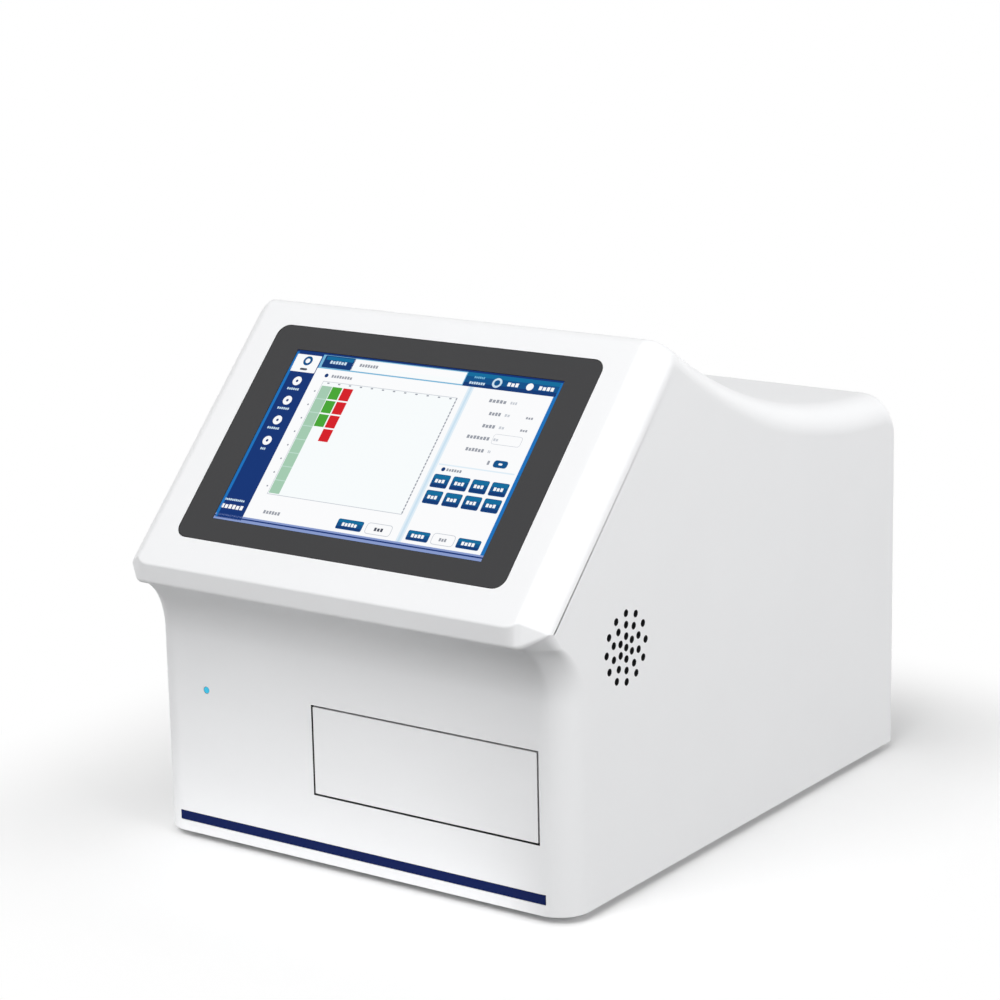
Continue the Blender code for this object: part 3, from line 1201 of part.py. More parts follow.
def make_fan():
    """Axial fan on the rear wall: its square frame, its rotor and the wire guard outside."""
    back = PANEL_FRONT - SEAT
    z = body_z(FAN_Z)
    middle = back - FAN_DEPTH / 2
    frame = box("fan_frame", (FAN_SIZE, FAN_DEPTH, FAN_SIZE), (FAN_X, middle, z), BLACK_PLASTIC,
                corner=FAN_CORNER, corner_axis=1)
    cut(frame, cylinder("fan_duct", FAN_BORE, 2 * FAN_DEPTH, (FAN_X, middle, z), "Y", None, 32))
    spider_y = back - FAN_DEPTH + FAN_SPIDER / 2
    join(frame, cylinder("fan_spider_hub", FAN_HUB, FAN_SPIDER, (FAN_X, spider_y, z), "Y", None, 24))
    for index in range(FAN_STRUTS):
        turn = Matrix.Translation((FAN_X, spider_y, z)) @ Matrix.Rotation(
            2 * math.pi * index / FAN_STRUTS, 4, "Y")
        join(frame, box("fan_strut_%d" % index, (FAN_BORE, FAN_SPIDER, FAN_SPIDER),
                        ((FAN_HUB + FAN_BORE) / 2, 0, 0), matrix=turn))
    rotor_front = spider_y + FAN_SPIDER / 2 + RUNNING_GAP
    rotor_length = back - rotor_front - RUNNING_GAP
    rotor_y = rotor_front + rotor_length / 2
    rotor = cylinder("fan_rotor", FAN_HUB, rotor_length, (FAN_X, rotor_y, z), "Y", BLACK_PLASTIC, 24)
    blade_length = FAN_BORE - FAN_HUB - 2 * RUNNING_GAP
    for index in range(FAN_BLADES):
        turn = Matrix.Translation((FAN_X, rotor_y, z)) @ Matrix.Rotation(
            2 * math.pi * index / FAN_BLADES, 4, "Y") @ Matrix.Rotation(BLADE_PITCH, 4, "X")
        join(rotor, box("fan_blade_%d" % index, (blade_length + FAN_HUB / 2, rotor_length, BLADE_THICK),
                        (FAN_HUB / 2 + (blade_length + FAN_HUB / 2) / 2, 0, 0), matrix=turn))
    pin_length = FAN_SPIDER + RUNNING_GAP
    join(rotor, cylinder("fan_pin", AXLE_RADIUS, pin_length,
                         (FAN_X, rotor_front - pin_length / 2 + RUNNING_GAP, z), "Y", None, 12))
    cut(frame, cylinder("fan_bearing", AXLE_RADIUS + SEAT, 4 * FAN_SPIDER, (FAN_X, spider_y, z), "Y",
                        None, 12))
    cut(frame, screw_holes("frame_screw_holes"))


def screw_spots():
    """Places of the fan's four screws, across and up."""
    reach = FAN_SCREW_PITCH / 2
    return [(FAN_X + side * reach, body_z(FAN_Z) + end * reach) for side in (-1, 1) for end in (-1, 1)]


def screw_holes(name):
    """Four clearance holes for the fan's screws, right through whatever they are cut from."""
    shape = bmesh.new()
    radius = FAN_SCREW_RADIUS + SEAT
    for x, z in screw_spots():
        bmesh.ops.create_cone(shape, cap_ends=True, segments=10, radius1=radius, radius2=radius,
                              depth=4 * FAN_DEPTH, matrix=at(x, PANEL_BACK, z, "Y"))
    return add_object(name, mesh_from(shape, name), None)


def make_fan_guard():
    """Concentric wires on two crossing bars that end in eyes, pressed from one sheet."""
    y = PANEL_BACK + SEAT + GUARD_THICK / 2
    z = body_z(FAN_Z)
    size = (math.sqrt(2) * FAN_SCREW_PITCH, GUARD_THICK, 4 * GUARD_WIRE)
    rising = Matrix.Translation((FAN_X, y, z)) @ Matrix.Rotation(math.pi / 4, 4, "Y")
    falling = Matrix.Translation((FAN_X, y, z)) @ Matrix.Rotation(-math.pi / 4, 4, "Y")
    guard = box("fan_guard", size, (0, 0, 0), BRIGHT_STEEL, rising)
    join(guard, box("guard_cross_bar", size, (0, 0, 0), matrix=falling))
    for ring in range(1, GUARD_RINGS + 1):
        outer = FAN_BORE * ring / GUARD_RINGS
        inner = outer - 2 * GUARD_WIRE
        half = GUARD_THICK / 2
        profile = [(outer, half), (outer, -half), (inner, -half), (inner, half)]
        join(guard, turned("guard_ring_%d" % ring, profile, None, at(FAN_X, y, z, "Y"), 24))
    for index, (x, spot_z) in enumerate(screw_spots()):
        join(guard, cylinder("guard_eye_%d" % index, GUARD_EYE, GUARD_THICK, (x, y, spot_z), "Y", None,
                             12))
    cut(guard, screw_holes("guard_screw_holes"))


def make_fan_screws():
    """Four screws that hold the guard and the fan to the rear panel."""
    under_head = PANEL_BACK + 2 * SEAT + GUARD_THICK
    for index, (x, z) in enumerate(screw_spots()):
        screw = cylinder("fan_screw_%d" % (index + 1), FAN_SCREW_HEAD, FAN_SCREW_HEAD_HEIGHT,
                         (x, under_head + FAN_SCREW_HEAD_HEIGHT / 2, z), "Y", BRIGHT_STEEL, 12)
        length = FAN_SCREW_LENGTH + FAN_SCREW_HEAD_HEIGHT / 2
        join(screw, cylinder("screw_shank_%d" % index, FAN_SCREW_RADIUS, length,
                             (x, under_head + FAN_SCREW_HEAD_HEIGHT / 2 - length / 2, z), "Y", None, 8))


def make_inlet():
    """Three-pin mains inlet: a flanged socket through the rear wall, its pins inside."""
    z = body_z(INLET_Z)
    flange_y = PANEL_BACK + SEAT + FLANGE_THICK / 2
    inlet = box("mains_inlet", (INLET_WIDTH + 2 * FLANGE_RIM, FLANGE_THICK, INLET_HEIGHT + 2 * FLANGE_RIM),
                (INLET_X, flange_y, z), BLACK_PLASTIC, corner=FLANGE_RIM, corner_axis=1)
    body_length = INLET_DEPTH + FLANGE_THICK
    back = flange_y + FLANGE_THICK / 2
    join(inlet, box("inlet_body", (INLET_WIDTH, body_length, INLET_HEIGHT),
                    (INLET_X, back - body_length / 2, z)))
    cut(inlet, box("inlet_socket", (INLET_WIDTH - 2 * SOCKET_WALL, 2 * SOCKET_DEPTH,
                                    INLET_HEIGHT - 2 * SOCKET_WALL), (INLET_X, back, z),
                   corner=SOCKET_WALL, corner_axis=1))
    for side, rise in ((-1, 0), (0, 1), (1, 0)):
        spot = (INLET_X + side * PIN_PITCH, back - PIN_SUNK - SOCKET_DEPTH / 2, z + (rise - 0.5) * PIN_PITCH / 2)
        join(inlet, box("inlet_pin_%d" % (side + 1), (PIN_SIZE, SOCKET_DEPTH, 2 * PIN_SIZE), spot))


def make_switch():
    """Rocker switch: its bezel and body, and the rocker that tips in it, off side down."""
    z = body_z(INLET_Z)
    flange_y = PANEL_BACK + SEAT + FLANGE_THICK / 2
    back = flange_y + FLANGE_THICK / 2
    body = box("switch_body", (SWITCH_WIDTH + FLANGE_RIM, FLANGE_THICK, SWITCH_HEIGHT + FLANGE_RIM),
               (SWITCH_X, flange_y, z), BLACK_PLASTIC)
    length = INLET_DEPTH + FLANGE_THICK
    join(body, box("switch_case", (SWITCH_WIDTH, length, SWITCH_HEIGHT), (SWITCH_X, back - length / 2, z)))
    cut(body, box("switch_well", (SWITCH_WIDTH - 2 * SOCKET_WALL, 2 * ROCKER_RADIUS,
                                  SWITCH_HEIGHT - 2 * SOCKET_WALL), (SWITCH_X, back, z)))
    tall = SWITCH_HEIGHT - 2 * SOCKET_WALL - 2 * RUNNING_GAP
    pin_length = tall + 2 * (RUNNING_GAP + ROCKER_PIN_REACH)
    pivot = (SWITCH_X, back - ROCKER_SINK, z)
    cut(body, cylinder("rocker_bore", ROCKER_PIN_RADIUS + SEAT, pin_length + 2 * SEAT, pivot, "Z", None,
                       12))
    tip = Matrix.Translation(pivot) @ Matrix.Rotation(SWITCH_TILT, 4, "Z")
    width = SWITCH_WIDTH - 2 * SOCKET_WALL - 4 * RUNNING_GAP
    rocker = box("switch_rocker", (width, ROCKER_THICK, tall), (0, 0, 0), BLACK_PLASTIC, tip)
    join(rocker, cylinder("rocker_pins", ROCKER_PIN_RADIUS, pin_length, pivot, "Z", None, 12))


def make_ports():
    """Block of data sockets behind the rear wall."""
    z = body_z(PORTS_Z)
    depth = INLET_DEPTH
    ports = box("data_ports", (PORTS_WIDTH, depth, PORTS_HEIGHT), (PORTS_X, PANEL_BACK - depth / 2, z),
                GREY_PLASTIC)
    for index, (offset, wide, tall) in enumerate(PORT_SOCKETS):
        cut(ports, box("port_socket_%d" % index, (wide, depth, tall), (PORTS_X + offset, PANEL_BACK, z)))


make_housing()
make_screen()
make_front_trim()
make_door()
make_base()
make_rear_panel()
make_tray()
make_bearings()
make_chassis()
make_belt_drive()
make_reading_head()
make_optics_mount()
make_filter_wheel()
make_fibre_bundle()
make_main_board()
make_power_supply()
make_speaker()
make_fan()
make_fan_guard()
make_fan_screws()
make_inlet()
make_switch()
make_ports()
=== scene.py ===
"""Looks of the microplate reader: finishes, the housing's skin, the screen, camera, light and floor.

Units are metres. +X is to the reader's right, +Y to its back and +Z up.
"""
import math

import bmesh
import bpy
from mathutils import Matrix, Vector


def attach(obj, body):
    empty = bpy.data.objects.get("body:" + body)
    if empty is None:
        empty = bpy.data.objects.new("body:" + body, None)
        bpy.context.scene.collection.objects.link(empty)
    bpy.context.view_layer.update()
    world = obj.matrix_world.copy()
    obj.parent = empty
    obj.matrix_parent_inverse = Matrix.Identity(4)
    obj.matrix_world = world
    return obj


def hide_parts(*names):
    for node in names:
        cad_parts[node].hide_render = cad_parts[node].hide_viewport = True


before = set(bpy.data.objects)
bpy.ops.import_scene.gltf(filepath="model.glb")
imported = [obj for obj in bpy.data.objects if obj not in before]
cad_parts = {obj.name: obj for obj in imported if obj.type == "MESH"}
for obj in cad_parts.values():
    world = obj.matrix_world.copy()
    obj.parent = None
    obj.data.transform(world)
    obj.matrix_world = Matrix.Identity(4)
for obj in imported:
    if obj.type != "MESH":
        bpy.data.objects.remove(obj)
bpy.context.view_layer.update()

# Camera
CAMERA_LENS = 107.9
CAMERA_AZIMUTH = math.radians(35.53)
CAMERA_ELEVATION = math.radians(13.78)
CAMERA_ROLL = math.radians(-1.20)
CAMERA_DISTANCE = 1.9623
CAMERA_RIGHT = 0.0944
CAMERA_UP = 0.2386
CAMERA_FOOT = Vector((0, -0.196, 0.0096))

# Screen, laid out in the display's own pixels from its top left corner
SCREEN_TILT = math.radians(45.6)
SCREEN_PIXELS = (1280, 800)
SCREEN_SIZE = (0.21636, 0.135)
LAYER = 0.00003
CELL_PITCH = (54, 63.75)
CELL_SIZE = (48, 57)
FIRST_CELL = (200, 150)
CELL_ROWS = 8
CELL_COLUMNS = 12
BUTTON_PITCH = (89.5, 72)
BUTTON_SIZE = (77, 59)
BUTTON_ROWS = 2
BUTTON_COLUMNS = 4
BUTTON_CORNER = 7
BUTTON_EDGE = 3
BUTTON_TOP = 0.35
BUTTON_FOOT = 0.28
BUTTON_WORD = 0.6
BUTTON_WORD_HEIGHT = 15
MARK_WIDTH = 0.74
MARK_DROP = 0.12
DASH_COUNT = 34
DASH_PITCH = 15.6
DASH_LENGTH = 10
BLOCK_CORNER_STEPS = 4

# Light and floor. A rectangle of the floor is its middle and half sizes, a lamp its place, size and
# power.
SKY_LOW = 0.96
SKY_HIGH = 0.08
FLOOR_REACH = 14.0
FLOOR_NEAR = 1.0
FLOOR_FAR = 0.03
FOOTPRINT = ((0, 0), (0.17, 0.2))
SHADOW_REACH = (0.03, 0.25)
CARD = ((-0.05, -0.245), (0.16, 0.05))
CARD_REACH = (0.0, 0.06)
FLOOR_PALE = (0.985, 0.985, 0.985)
LIGHT_AIM = Vector((0, 0, 0.15))
LIGHTS = {
    "front_light": ((0.0, -1.85, 2.47), 2.0, 51),
    "side_light": ((2.5, -0.22, 0.82), 1.8, 37),
    "left_light": ((-1.90, -1.60, 0.37), 1.5, 3.6),
    "rear_light": ((0.6, 2.7, 0.6), 1.6, 7),
}

# Outside colours
ABS_WHITE = (0.85, 0.855, 0.865)
BEZEL_GREY = (0.043, 0.043, 0.045)
STRIP_NAVY = (0.002, 0.010, 0.080)
CLOUD_SCALE = 14
CLOUD_DETAIL = 2.0
GLOSS_SPREAD = 0.04

# Housing skin, from the CAD shell's sizes, its edges softened as moulded edges are. The rim's setback,
# the door's opening and the grille's holes are as the photograph shows them. An opening in the front is
# its x, z, width and height, the lamp's hole its x, z and radius.
WIDTH = 0.338
BODY_DEPTH = 0.423
FRONT = -0.196
BOTTOM = 0.005
WALL = 0.003
LIP_REACH = 0.031
RIM_SETBACK = 0.0008
RIM_HEIGHT = 0.1821
LIP_HEIGHT = 0.0139
FACE_LENGTH = 0.2156
FACE_HALF = 0.153
CHAMFER_WIDTH = 0.016
CHAMFER_DEPTH = 0.014
LIP_CORNER = 0.010
RIM_RISE = 0.009
UNDERCUT_START = 0.140
UNDERCUT_RADIUS = 0.047
UNDERCUT_TURN = math.radians(60)
CROWN_RADIUS = 0.0087
CROWN_RUN = 0.022
SADDLE_START = math.radians(31)
SADDLE_END = math.radians(2.5)
SADDLE_REST = 0.012
REAR_CORNER = 0.016
FRONT_ROUND = 0.022
CROWN_ROUND = 0.013
SADDLE_ROUND = 0.021
REAR_ROUND = 0.002
REAR_LINTEL = 0.0311
EDGE_SOFT = 0.0025
OUTER_SOFT = 0.009
RIM_SOFT = 0.0034
BROW_SOFT = 0.0025
BROW_LEAD = 0.002
PAST = 0.010
CUT_DEPTH = 4 * WALL
WINDOW_SIZE = (0.26456, 0.1711)
WINDOW_UP = 0.10935
WINDOW_CORNER = 0.0089
POST_SPOTS = (0.13638, 0.08965)
POST_RADIUS = 0.004
POST_LENGTH = 0.0051
POST_SUNK = 0.00045
DOOR_OPENING = (0.0571, 0.08255, 0.1802, 0.0621)
STRIP_GROOVE = (0.0, 0.01595, 0.3016, 0.0069)
STRIP_DEPTH = 0.0011
LAMP_HOLE = (-0.1227, 0.1088, 0.0025)
GRILLE_MIDDLE = (-0.1285, 0.1666)
GRILLE_COUNTS = (1, 6, 10, 12)
GRILLE_PITCH = 0.0075
GRILLE_HOLE = 0.0025

# Steps of the skin's curves. Where there are two, the first is the hollow's and the second the outside's
UNDERCUT_STEPS = (4, 20)
CROWN_STEPS = (2, 8)
SADDLE_STEPS = (5, 30)
REAR_STEPS = (3, 12)
LIP_STEPS = 6
STATION_STEPS = 12
INNER_TURNS = (math.pi / 3, math.pi / 2)
CUT_CORNER_STEPS = 8
ROUND_SIDES = 24
LEAST_TURN = 0.001
CORNER_SHARE = 0.48
SHARP_ANGLE = math.radians(32)

# Screen colours
SCREEN_COLOURS = {
    "navy": (0.004, 0.034, 0.185),
    "deep_blue": (0.003, 0.040, 0.180),
    "mid_blue": (0.003, 0.085, 0.260),
    "teal": (0.003, 0.150, 0.340),
    "azure": (0.010, 0.170, 0.520),
    "sky_blue": (0.190, 0.480, 0.700),
    "pale_blue": (0.620, 0.780, 0.900),
    "mist_blue": (0.760, 0.870, 0.950),
    "periwinkle": (0.250, 0.330, 0.620),
    "white": (0.985, 0.99, 1.0),
    "tint": (0.960, 0.992, 1.0),
    "pale_green": (0.380, 0.610, 0.450),
    "line_green": (0.520, 0.730, 0.620),
    "green": (0.065, 0.390, 0.035),
    "red": (0.680, 0.012, 0.020),
    "ink": (0.070, 0.080, 0.110),
    "grey_ink": (0.330, 0.350, 0.400),
    "line_grey": (0.600, 0.630, 0.680),
}
SCREEN_STRENGTH = 0.97


def make_camera():
    """Looks at the reader from its front right, a little above the bench."""
    back = Vector((math.sin(CAMERA_AZIMUTH) * math.cos(CAMERA_ELEVATION),
                   -math.cos(CAMERA_AZIMUTH) * math.cos(CAMERA_ELEVATION),
                   math.sin(CAMERA_ELEVATION)))
    level = Vector((math.cos(CAMERA_AZIMUTH), math.sin(CAMERA_AZIMUTH), 0))
    upright = back.cross(level)
    right = level * math.cos(CAMERA_ROLL) + upright * math.sin(CAMERA_ROLL)
    up = upright * math.cos(CAMERA_ROLL) - level * math.sin(CAMERA_ROLL)
    data = bpy.data.cameras.new("camera")
    data.lens = CAMERA_LENS
    made = bpy.data.objects.new("camera", data)
    bpy.context.scene.collection.objects.link(made)
    place = CAMERA_FOOT + right * CAMERA_RIGHT + up * CAMERA_UP + back * CAMERA_DISTANCE
    made.matrix_world = Matrix.Translation(place) @ Matrix((right, up, back)).transposed().to_4x4()
    bpy.context.scene.camera = made


def make_light(name, place, size, power):
    """A square lamp of this size in metres and power in watts, turned to the reader."""
    data = bpy.data.lights.new(name, "AREA")
    data.shape = "SQUARE"
    data.size = size
    data.energy = power
    made = bpy.data.objects.new(name, data)
    bpy.context.scene.collection.objects.link(made)
    made.location = place
    made.rotation_euler = (Vector(place) - LIGHT_AIM).to_track_quat("Z", "Y").to_euler()


def make_world():
    """A soft light, brighter from the sides than from above. The camera and gloss see it as white."""
    world = bpy.data.worlds.new("studio")
    bpy.context.scene.world = world
    world.use_nodes = True
    nodes = world.node_tree.nodes
    links = world.node_tree.links
    nodes.clear()
    output = nodes.new("ShaderNodeOutputWorld")
    place = nodes.new("ShaderNodeTexCoord")
    parts = nodes.new("ShaderNodeSeparateXYZ")
    level = nodes.new("ShaderNodeMapRange")
    level.inputs["From Min"].default_value = 0.0
    level.inputs["From Max"].default_value = 1.0
    level.inputs["To Min"].default_value = SKY_LOW
    level.inputs["To Max"].default_value = SKY_HIGH
    soft = nodes.new("ShaderNodeBackground")
    soft.inputs["Color"].default_value = (1, 1, 1, 1)
    white = nodes.new("ShaderNodeBackground")
    white.inputs["Color"].default_value = (1, 1, 1, 1)
    white.inputs["Strength"].default_value = 1.0
    pick = nodes.new("ShaderNodeMixShader")
    links.new(place.outputs["Generated"], parts.inputs[0])
    links.new(parts.outputs["Z"], level.inputs["Value"])
    links.new(level.outputs["Result"], soft.inputs["Strength"])
    links.new(background_rays(nodes, links), pick.inputs["Fac"])
    links.new(soft.outputs[0], pick.inputs[1])
    links.new(white.outputs[0], pick.inputs[2])
    links.new(pick.outputs[0], output.inputs["Surface"])


def background_rays(nodes, links):
    """1 for the rays that show the background, which are the camera's and those of gloss and glass."""
    rays = nodes.new("ShaderNodeLightPath")
    either = nodes.new("ShaderNodeMath")
    either.operation = "MAXIMUM"
    any_ray = nodes.new("ShaderNodeMath")
    any_ray.operation = "MAXIMUM"
    links.new(rays.outputs["Is Camera Ray"], either.inputs[0])
    links.new(rays.outputs["Is Glossy Ray"], either.inputs[1])
    links.new(either.outputs[0], any_ray.inputs[0])
    links.new(rays.outputs["Is Transmission Ray"], any_ray.inputs[1])
    return any_ray.outputs[0]


def reach_from(nodes, links, middle, half):
    """How far a point of the floor lies from a rectangle on it."""
    place = nodes.new("ShaderNodeNewGeometry")
    moved = nodes.new("ShaderNodeVectorMath")
    moved.operation = "SUBTRACT"
    moved.inputs[1].default_value = (*middle, 0)
    size = nodes.new("ShaderNodeVectorMath")
    size.operation = "ABSOLUTE"
    past = nodes.new("ShaderNodeVectorMath")
    past.operation = "SUBTRACT"
    past.inputs[1].default_value = (*half, 1)
    outside = nodes.new("ShaderNodeVectorMath")
    outside.operation = "MAXIMUM"
    outside.inputs[1].default_value = (0, 0, 0)
    reach = nodes.new("ShaderNodeVectorMath")
    reach.operation = "LENGTH"
    links.new(place.outputs["Position"], moved.inputs[0])
    links.new(moved.outputs["Vector"], size.inputs[0])
    links.new(size.outputs["Vector"], past.inputs[0])
    links.new(past.outputs["Vector"], outside.inputs[0])
    links.new(outside.outputs["Vector"], reach.inputs[0])
    return reach.outputs["Value"]


def fade(nodes, links, reach, start, end, near, far):
    """A value that goes from near to far between two distances."""
    level = nodes.new("ShaderNodeMapRange")
    level.interpolation_type = "SMOOTHSTEP"
    level.inputs["From Min"].default_value = start
    level.inputs["From Max"].default_value = end
    level.inputs["To Min"].default_value = near
    level.inputs["To Max"].default_value = far
    links.new(reach, level.inputs["Value"])
    return level.outputs["Result"]


def floor_finish():
    """White where it is seen, with the shadow near the reader.

    Other light finds a pale card under the front and a dark floor round it, which throws little back.
    """
    finish = bpy.data.materials.new("floor")
    finish.use_nodes = True
    nodes = finish.node_tree.nodes
    links = finish.node_tree.links
    nodes.clear()
    output = nodes.new("ShaderNodeOutputMaterial")
    card = reach_from(nodes, links, *CARD)
    dim = nodes.new("ShaderNodeBsdfDiffuse")
    links.new(fade(nodes, links, card, *CARD_REACH, FLOOR_NEAR, FLOOR_FAR), dim.inputs["Color"])
    pale = nodes.new("ShaderNodeBsdfDiffuse")
    pale.inputs["Color"].default_value = (*FLOOR_PALE, 1)
    bright = nodes.new("ShaderNodeEmission")
    bright.inputs["Color"].default_value = (1, 1, 1, 1)
    bright.inputs["Strength"].default_value = 1.0
    seen = nodes.new("ShaderNodeMixShader")
    foot = reach_from(nodes, links, *FOOTPRINT)
    links.new(fade(nodes, links, foot, *SHADOW_REACH, 0.0, 1.0), seen.inputs["Fac"])
    links.new(pale.outputs[0], seen.inputs[1])
    links.new(bright.outputs[0], seen.inputs[2])
    pick = nodes.new("ShaderNodeMixShader")
    links.new(background_rays(nodes, links), pick.inputs["Fac"])
    links.new(dim.outputs[0], pick.inputs[1])
    links.new(seen.outputs[0], pick.inputs[2])
    links.new(pick.outputs[0], output.inputs["Surface"])
    return finish


def make_floor():
    """A wide floor under the reader."""
    shape = bmesh.new()
    bmesh.ops.create_grid(shape, x_segments=1, y_segments=1, size=FLOOR_REACH)
    mesh = bpy.data.meshes.new("floor")
    shape.to_mesh(mesh)
    shape.free()
    made = bpy.data.objects.new("floor", mesh)
    bpy.context.scene.collection.objects.link(made)
    mesh.materials.append(floor_finish())


# Finishes

def shader_of(name):
    """A new node material and its main shader."""
    made = bpy.data.materials.new(name)
    made.use_nodes = True
    return made, made.node_tree.nodes["Principled BSDF"]


def noise(made, scale, stretch=(1, 1, 1), detail=3.0):
    """A noise pattern fixed to the part, its scale in marks for each metre."""
    nodes = made.node_tree.nodes
    links = made.node_tree.links
    place = nodes.new("ShaderNodeTexCoord")
    turn = nodes.new("ShaderNodeMapping")
    turn.inputs["Scale"].default_value = stretch
    marks = nodes.new("ShaderNodeTexNoise")
    marks.inputs["Scale"].default_value = scale
    marks.inputs["Detail"].default_value = detail
    links.new(place.outputs["Object"], turn.inputs["Vector"])
    links.new(turn.outputs["Vector"], marks.inputs["Vector"])
    return marks.outputs["Fac"]


def ranged(made, value, low, high):
    """The pattern's middle range spread between two values."""
    spread = made.node_tree.nodes.new("ShaderNodeMapRange")
    spread.inputs["From Min"].default_value = 0.3
    spread.inputs["From Max"].default_value = 0.7
    spread.inputs["To Min"].default_value = low
    spread.inputs["To Max"].default_value = high
    made.node_tree.links.new(value, spread.inputs["Value"])
    return spread.outputs["Result"]


def tinted(made, value, dark, light):
    """Two colours mixed by a pattern."""
    blend = made.node_tree.nodes.new("ShaderNodeMix")
    blend.data_type = "RGBA"
    blend.inputs["A"].default_value = (*dark, 1)
    blend.inputs["B"].default_value = (*light, 1)
    made.node_tree.links.new(value, blend.inputs["Factor"])
    return blend.outputs["Result"]


def bumped(made, shader, value, depth):
    """Relief of a pattern, its depth in metres."""
    relief = made.node_tree.nodes.new("ShaderNodeBump")
    relief.inputs["Strength"].default_value = 1.0
    relief.inputs["Distance"].default_value = depth
    made.node_tree.links.new(value, relief.inputs["Height"])
    made.node_tree.links.new(relief.outputs["Normal"], shader.inputs["Normal"])


def plain(name, colour, roughness, specular=0.5, metallic=0.0, grain=900, depth=0.00001, vary=0.04,
          stretch=(1, 1, 1)):
    """A moulded, cast or brushed surface: fine grain in its relief, gloss and tone."""
    made, shader = shader_of(name)
    links = made.node_tree.links
    shader.inputs["Metallic"].default_value = metallic
    shader.inputs["Specular IOR Level"].default_value = specular
    cloud = noise(made, CLOUD_SCALE, detail=CLOUD_DETAIL)
    dark = tuple(channel * (1 - vary) for channel in colour)
    light = tuple(min(channel * (1 + vary), 1.0) for channel in colour)
    links.new(tinted(made, ranged(made, cloud, 0, 1), dark, light), shader.inputs["Base Color"])
    fine = noise(made, grain, stretch)
    gloss = ranged(made, fine, roughness - GLOSS_SPREAD, roughness + GLOSS_SPREAD)
    links.new(gloss, shader.inputs["Roughness"])
    bumped(made, shader, fine, depth)
    return made


def board_finish():
    """Green solder mask with paler tracks under it and a fine weave."""
    made, shader = shader_of("board_green")
    nodes = made.node_tree.nodes
    links = made.node_tree.links
    place = nodes.new("ShaderNodeTexCoord")
    tracks = nodes.new("ShaderNodeTexBrick")
    tracks.offset = 0.37
    tracks.inputs["Scale"].default_value = 260.0
    tracks.inputs["Mortar Size"].default_value = 0.09
    tracks.inputs["Brick Width"].default_value = 1.7
    tracks.inputs["Color1"].default_value = (0.012, 0.105, 0.045, 1)
    tracks.inputs["Color2"].default_value = (0.014, 0.125, 0.052, 1)
    tracks.inputs["Mortar"].default_value = (0.035, 0.235, 0.085, 1)
    links.new(place.outputs["Object"], tracks.inputs["Vector"])
    links.new(tracks.outputs["Color"], shader.inputs["Base Color"])
    shader.inputs["Roughness"].default_value = 0.36
    bumped(made, shader, noise(made, 1200), 0.00001)
    return made


def lens_finish():
    """Cyan lamp behind a frosted lens, which glows a little."""
    made, shader = shader_of("cyan_lens")
    shader.inputs["Base Color"].default_value = (0.02, 0.36, 0.55, 1)
    shader.inputs["Emission Color"].default_value = (0.02, 0.42, 0.62, 1)
    shader.inputs["Emission Strength"].default_value = 0.45
    made.node_tree.links.new(ranged(made, noise(made, 1500), 0.22, 0.34), shader.inputs["Roughness"])
    return made


def make_finishes():
    """The finish of each material slot that the record names."""
    brushed_along = (1, 0.02, 1)
    brushed_across = (0.02, 1, 1)
    return {
        "white_abs": plain("white_abs", ABS_WHITE, 0.42, 0.35, grain=1500, depth=0.000012, vary=0.006),
        "dark_border": plain("dark_border", BEZEL_GREY, 0.22, 0.16, grain=300, depth=0.000002, vary=0.02),
        "navy_strip": plain("navy_strip", STRIP_NAVY, 0.34, 0.08, grain=700, depth=0.000004, vary=0.05),
        "screen": plain("screen", (0.012, 0.012, 0.014), 0.2, 0.2, grain=300, depth=0.000002),
        "cyan_lens": lens_finish(),
        "steel_sheet": plain("steel_sheet", (0.56, 0.57, 0.58), 0.4, metallic=1.0, grain=700,
                             depth=0.000008, stretch=brushed_across),
        "bright_steel": plain("bright_steel", (0.72, 0.72, 0.73), 0.2, metallic=1.0, grain=900,
                              depth=0.000003, stretch=brushed_along),
        "aluminium": plain("aluminium", (0.76, 0.77, 0.78), 0.34, metallic=1.0, grain=800, depth=0.000006,
                           stretch=brushed_along),
        "black_anodised": plain("black_anodised", (0.022, 0.022, 0.024), 0.38, 0.5, 0.3, grain=1300,
                                depth=0.000006),
        "black_plastic": plain("black_plastic", (0.018, 0.018, 0.019), 0.46, 0.4, grain=1200,
                               depth=0.00002),
        "grey_plastic": plain("grey_plastic", (0.24, 0.25, 0.26), 0.5, 0.4, grain=1200, depth=0.00002),
        "rubber": plain("rubber", (0.024, 0.024, 0.025), 0.82, 0.25, grain=700, depth=0.00004, vary=0.15),
        "board_green": board_finish(),
        "paper_cone": plain("paper_cone", (0.02, 0.02, 0.02), 0.9, 0.1, grain=500, depth=0.00006, vary=0.2),
    }


def finish_nodes():
    """Gives every CAD node its slot's finish."""
    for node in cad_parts.values():
        for place in node.material_slots:
            place.material = FINISHES[place.material.name]


# Housing skin

def meet(a, a_way, b, b_way):
    """The point where two lines cross, each given by a point and a direction."""
    cross = a_way.x * b_way.y - a_way.y * b_way.x
    gap = b - a
    along = (gap.x * b_way.y - gap.y * b_way.x) / cross
    return a + a_way * along


def way(angle):
    """A direction in the side outline, its angle up from straight back."""
    return Vector((math.cos(angle), math.sin(angle)))


def rounded_corner(before, corner, after, radius, steps):
    """Points of the arc that rounds a corner of an outline, kept within half of its shorter side."""
    into = (corner - before).normalized()
    out = (after - corner).normalized()
    turn = into.angle_signed(out)
    if abs(turn) < LEAST_TURN:
        return [corner] * (steps + 1)
    reach = radius * math.tan(abs(turn) / 2)
    most = CORNER_SHARE * min((corner - before).length, (after - corner).length)
    if reach > most:
        radius *= most / reach
        reach = most
    start = corner - into * reach
    side = 1 if turn < 0 else -1
    centre = start + Vector((-into.y, into.x)) * radius * side
    points = []
    for step in range(steps + 1):
        spoke = start - centre
        spoke.rotate(Matrix.Rotation(-turn * step / steps, 2))
        points.append(centre + spoke)
    return points


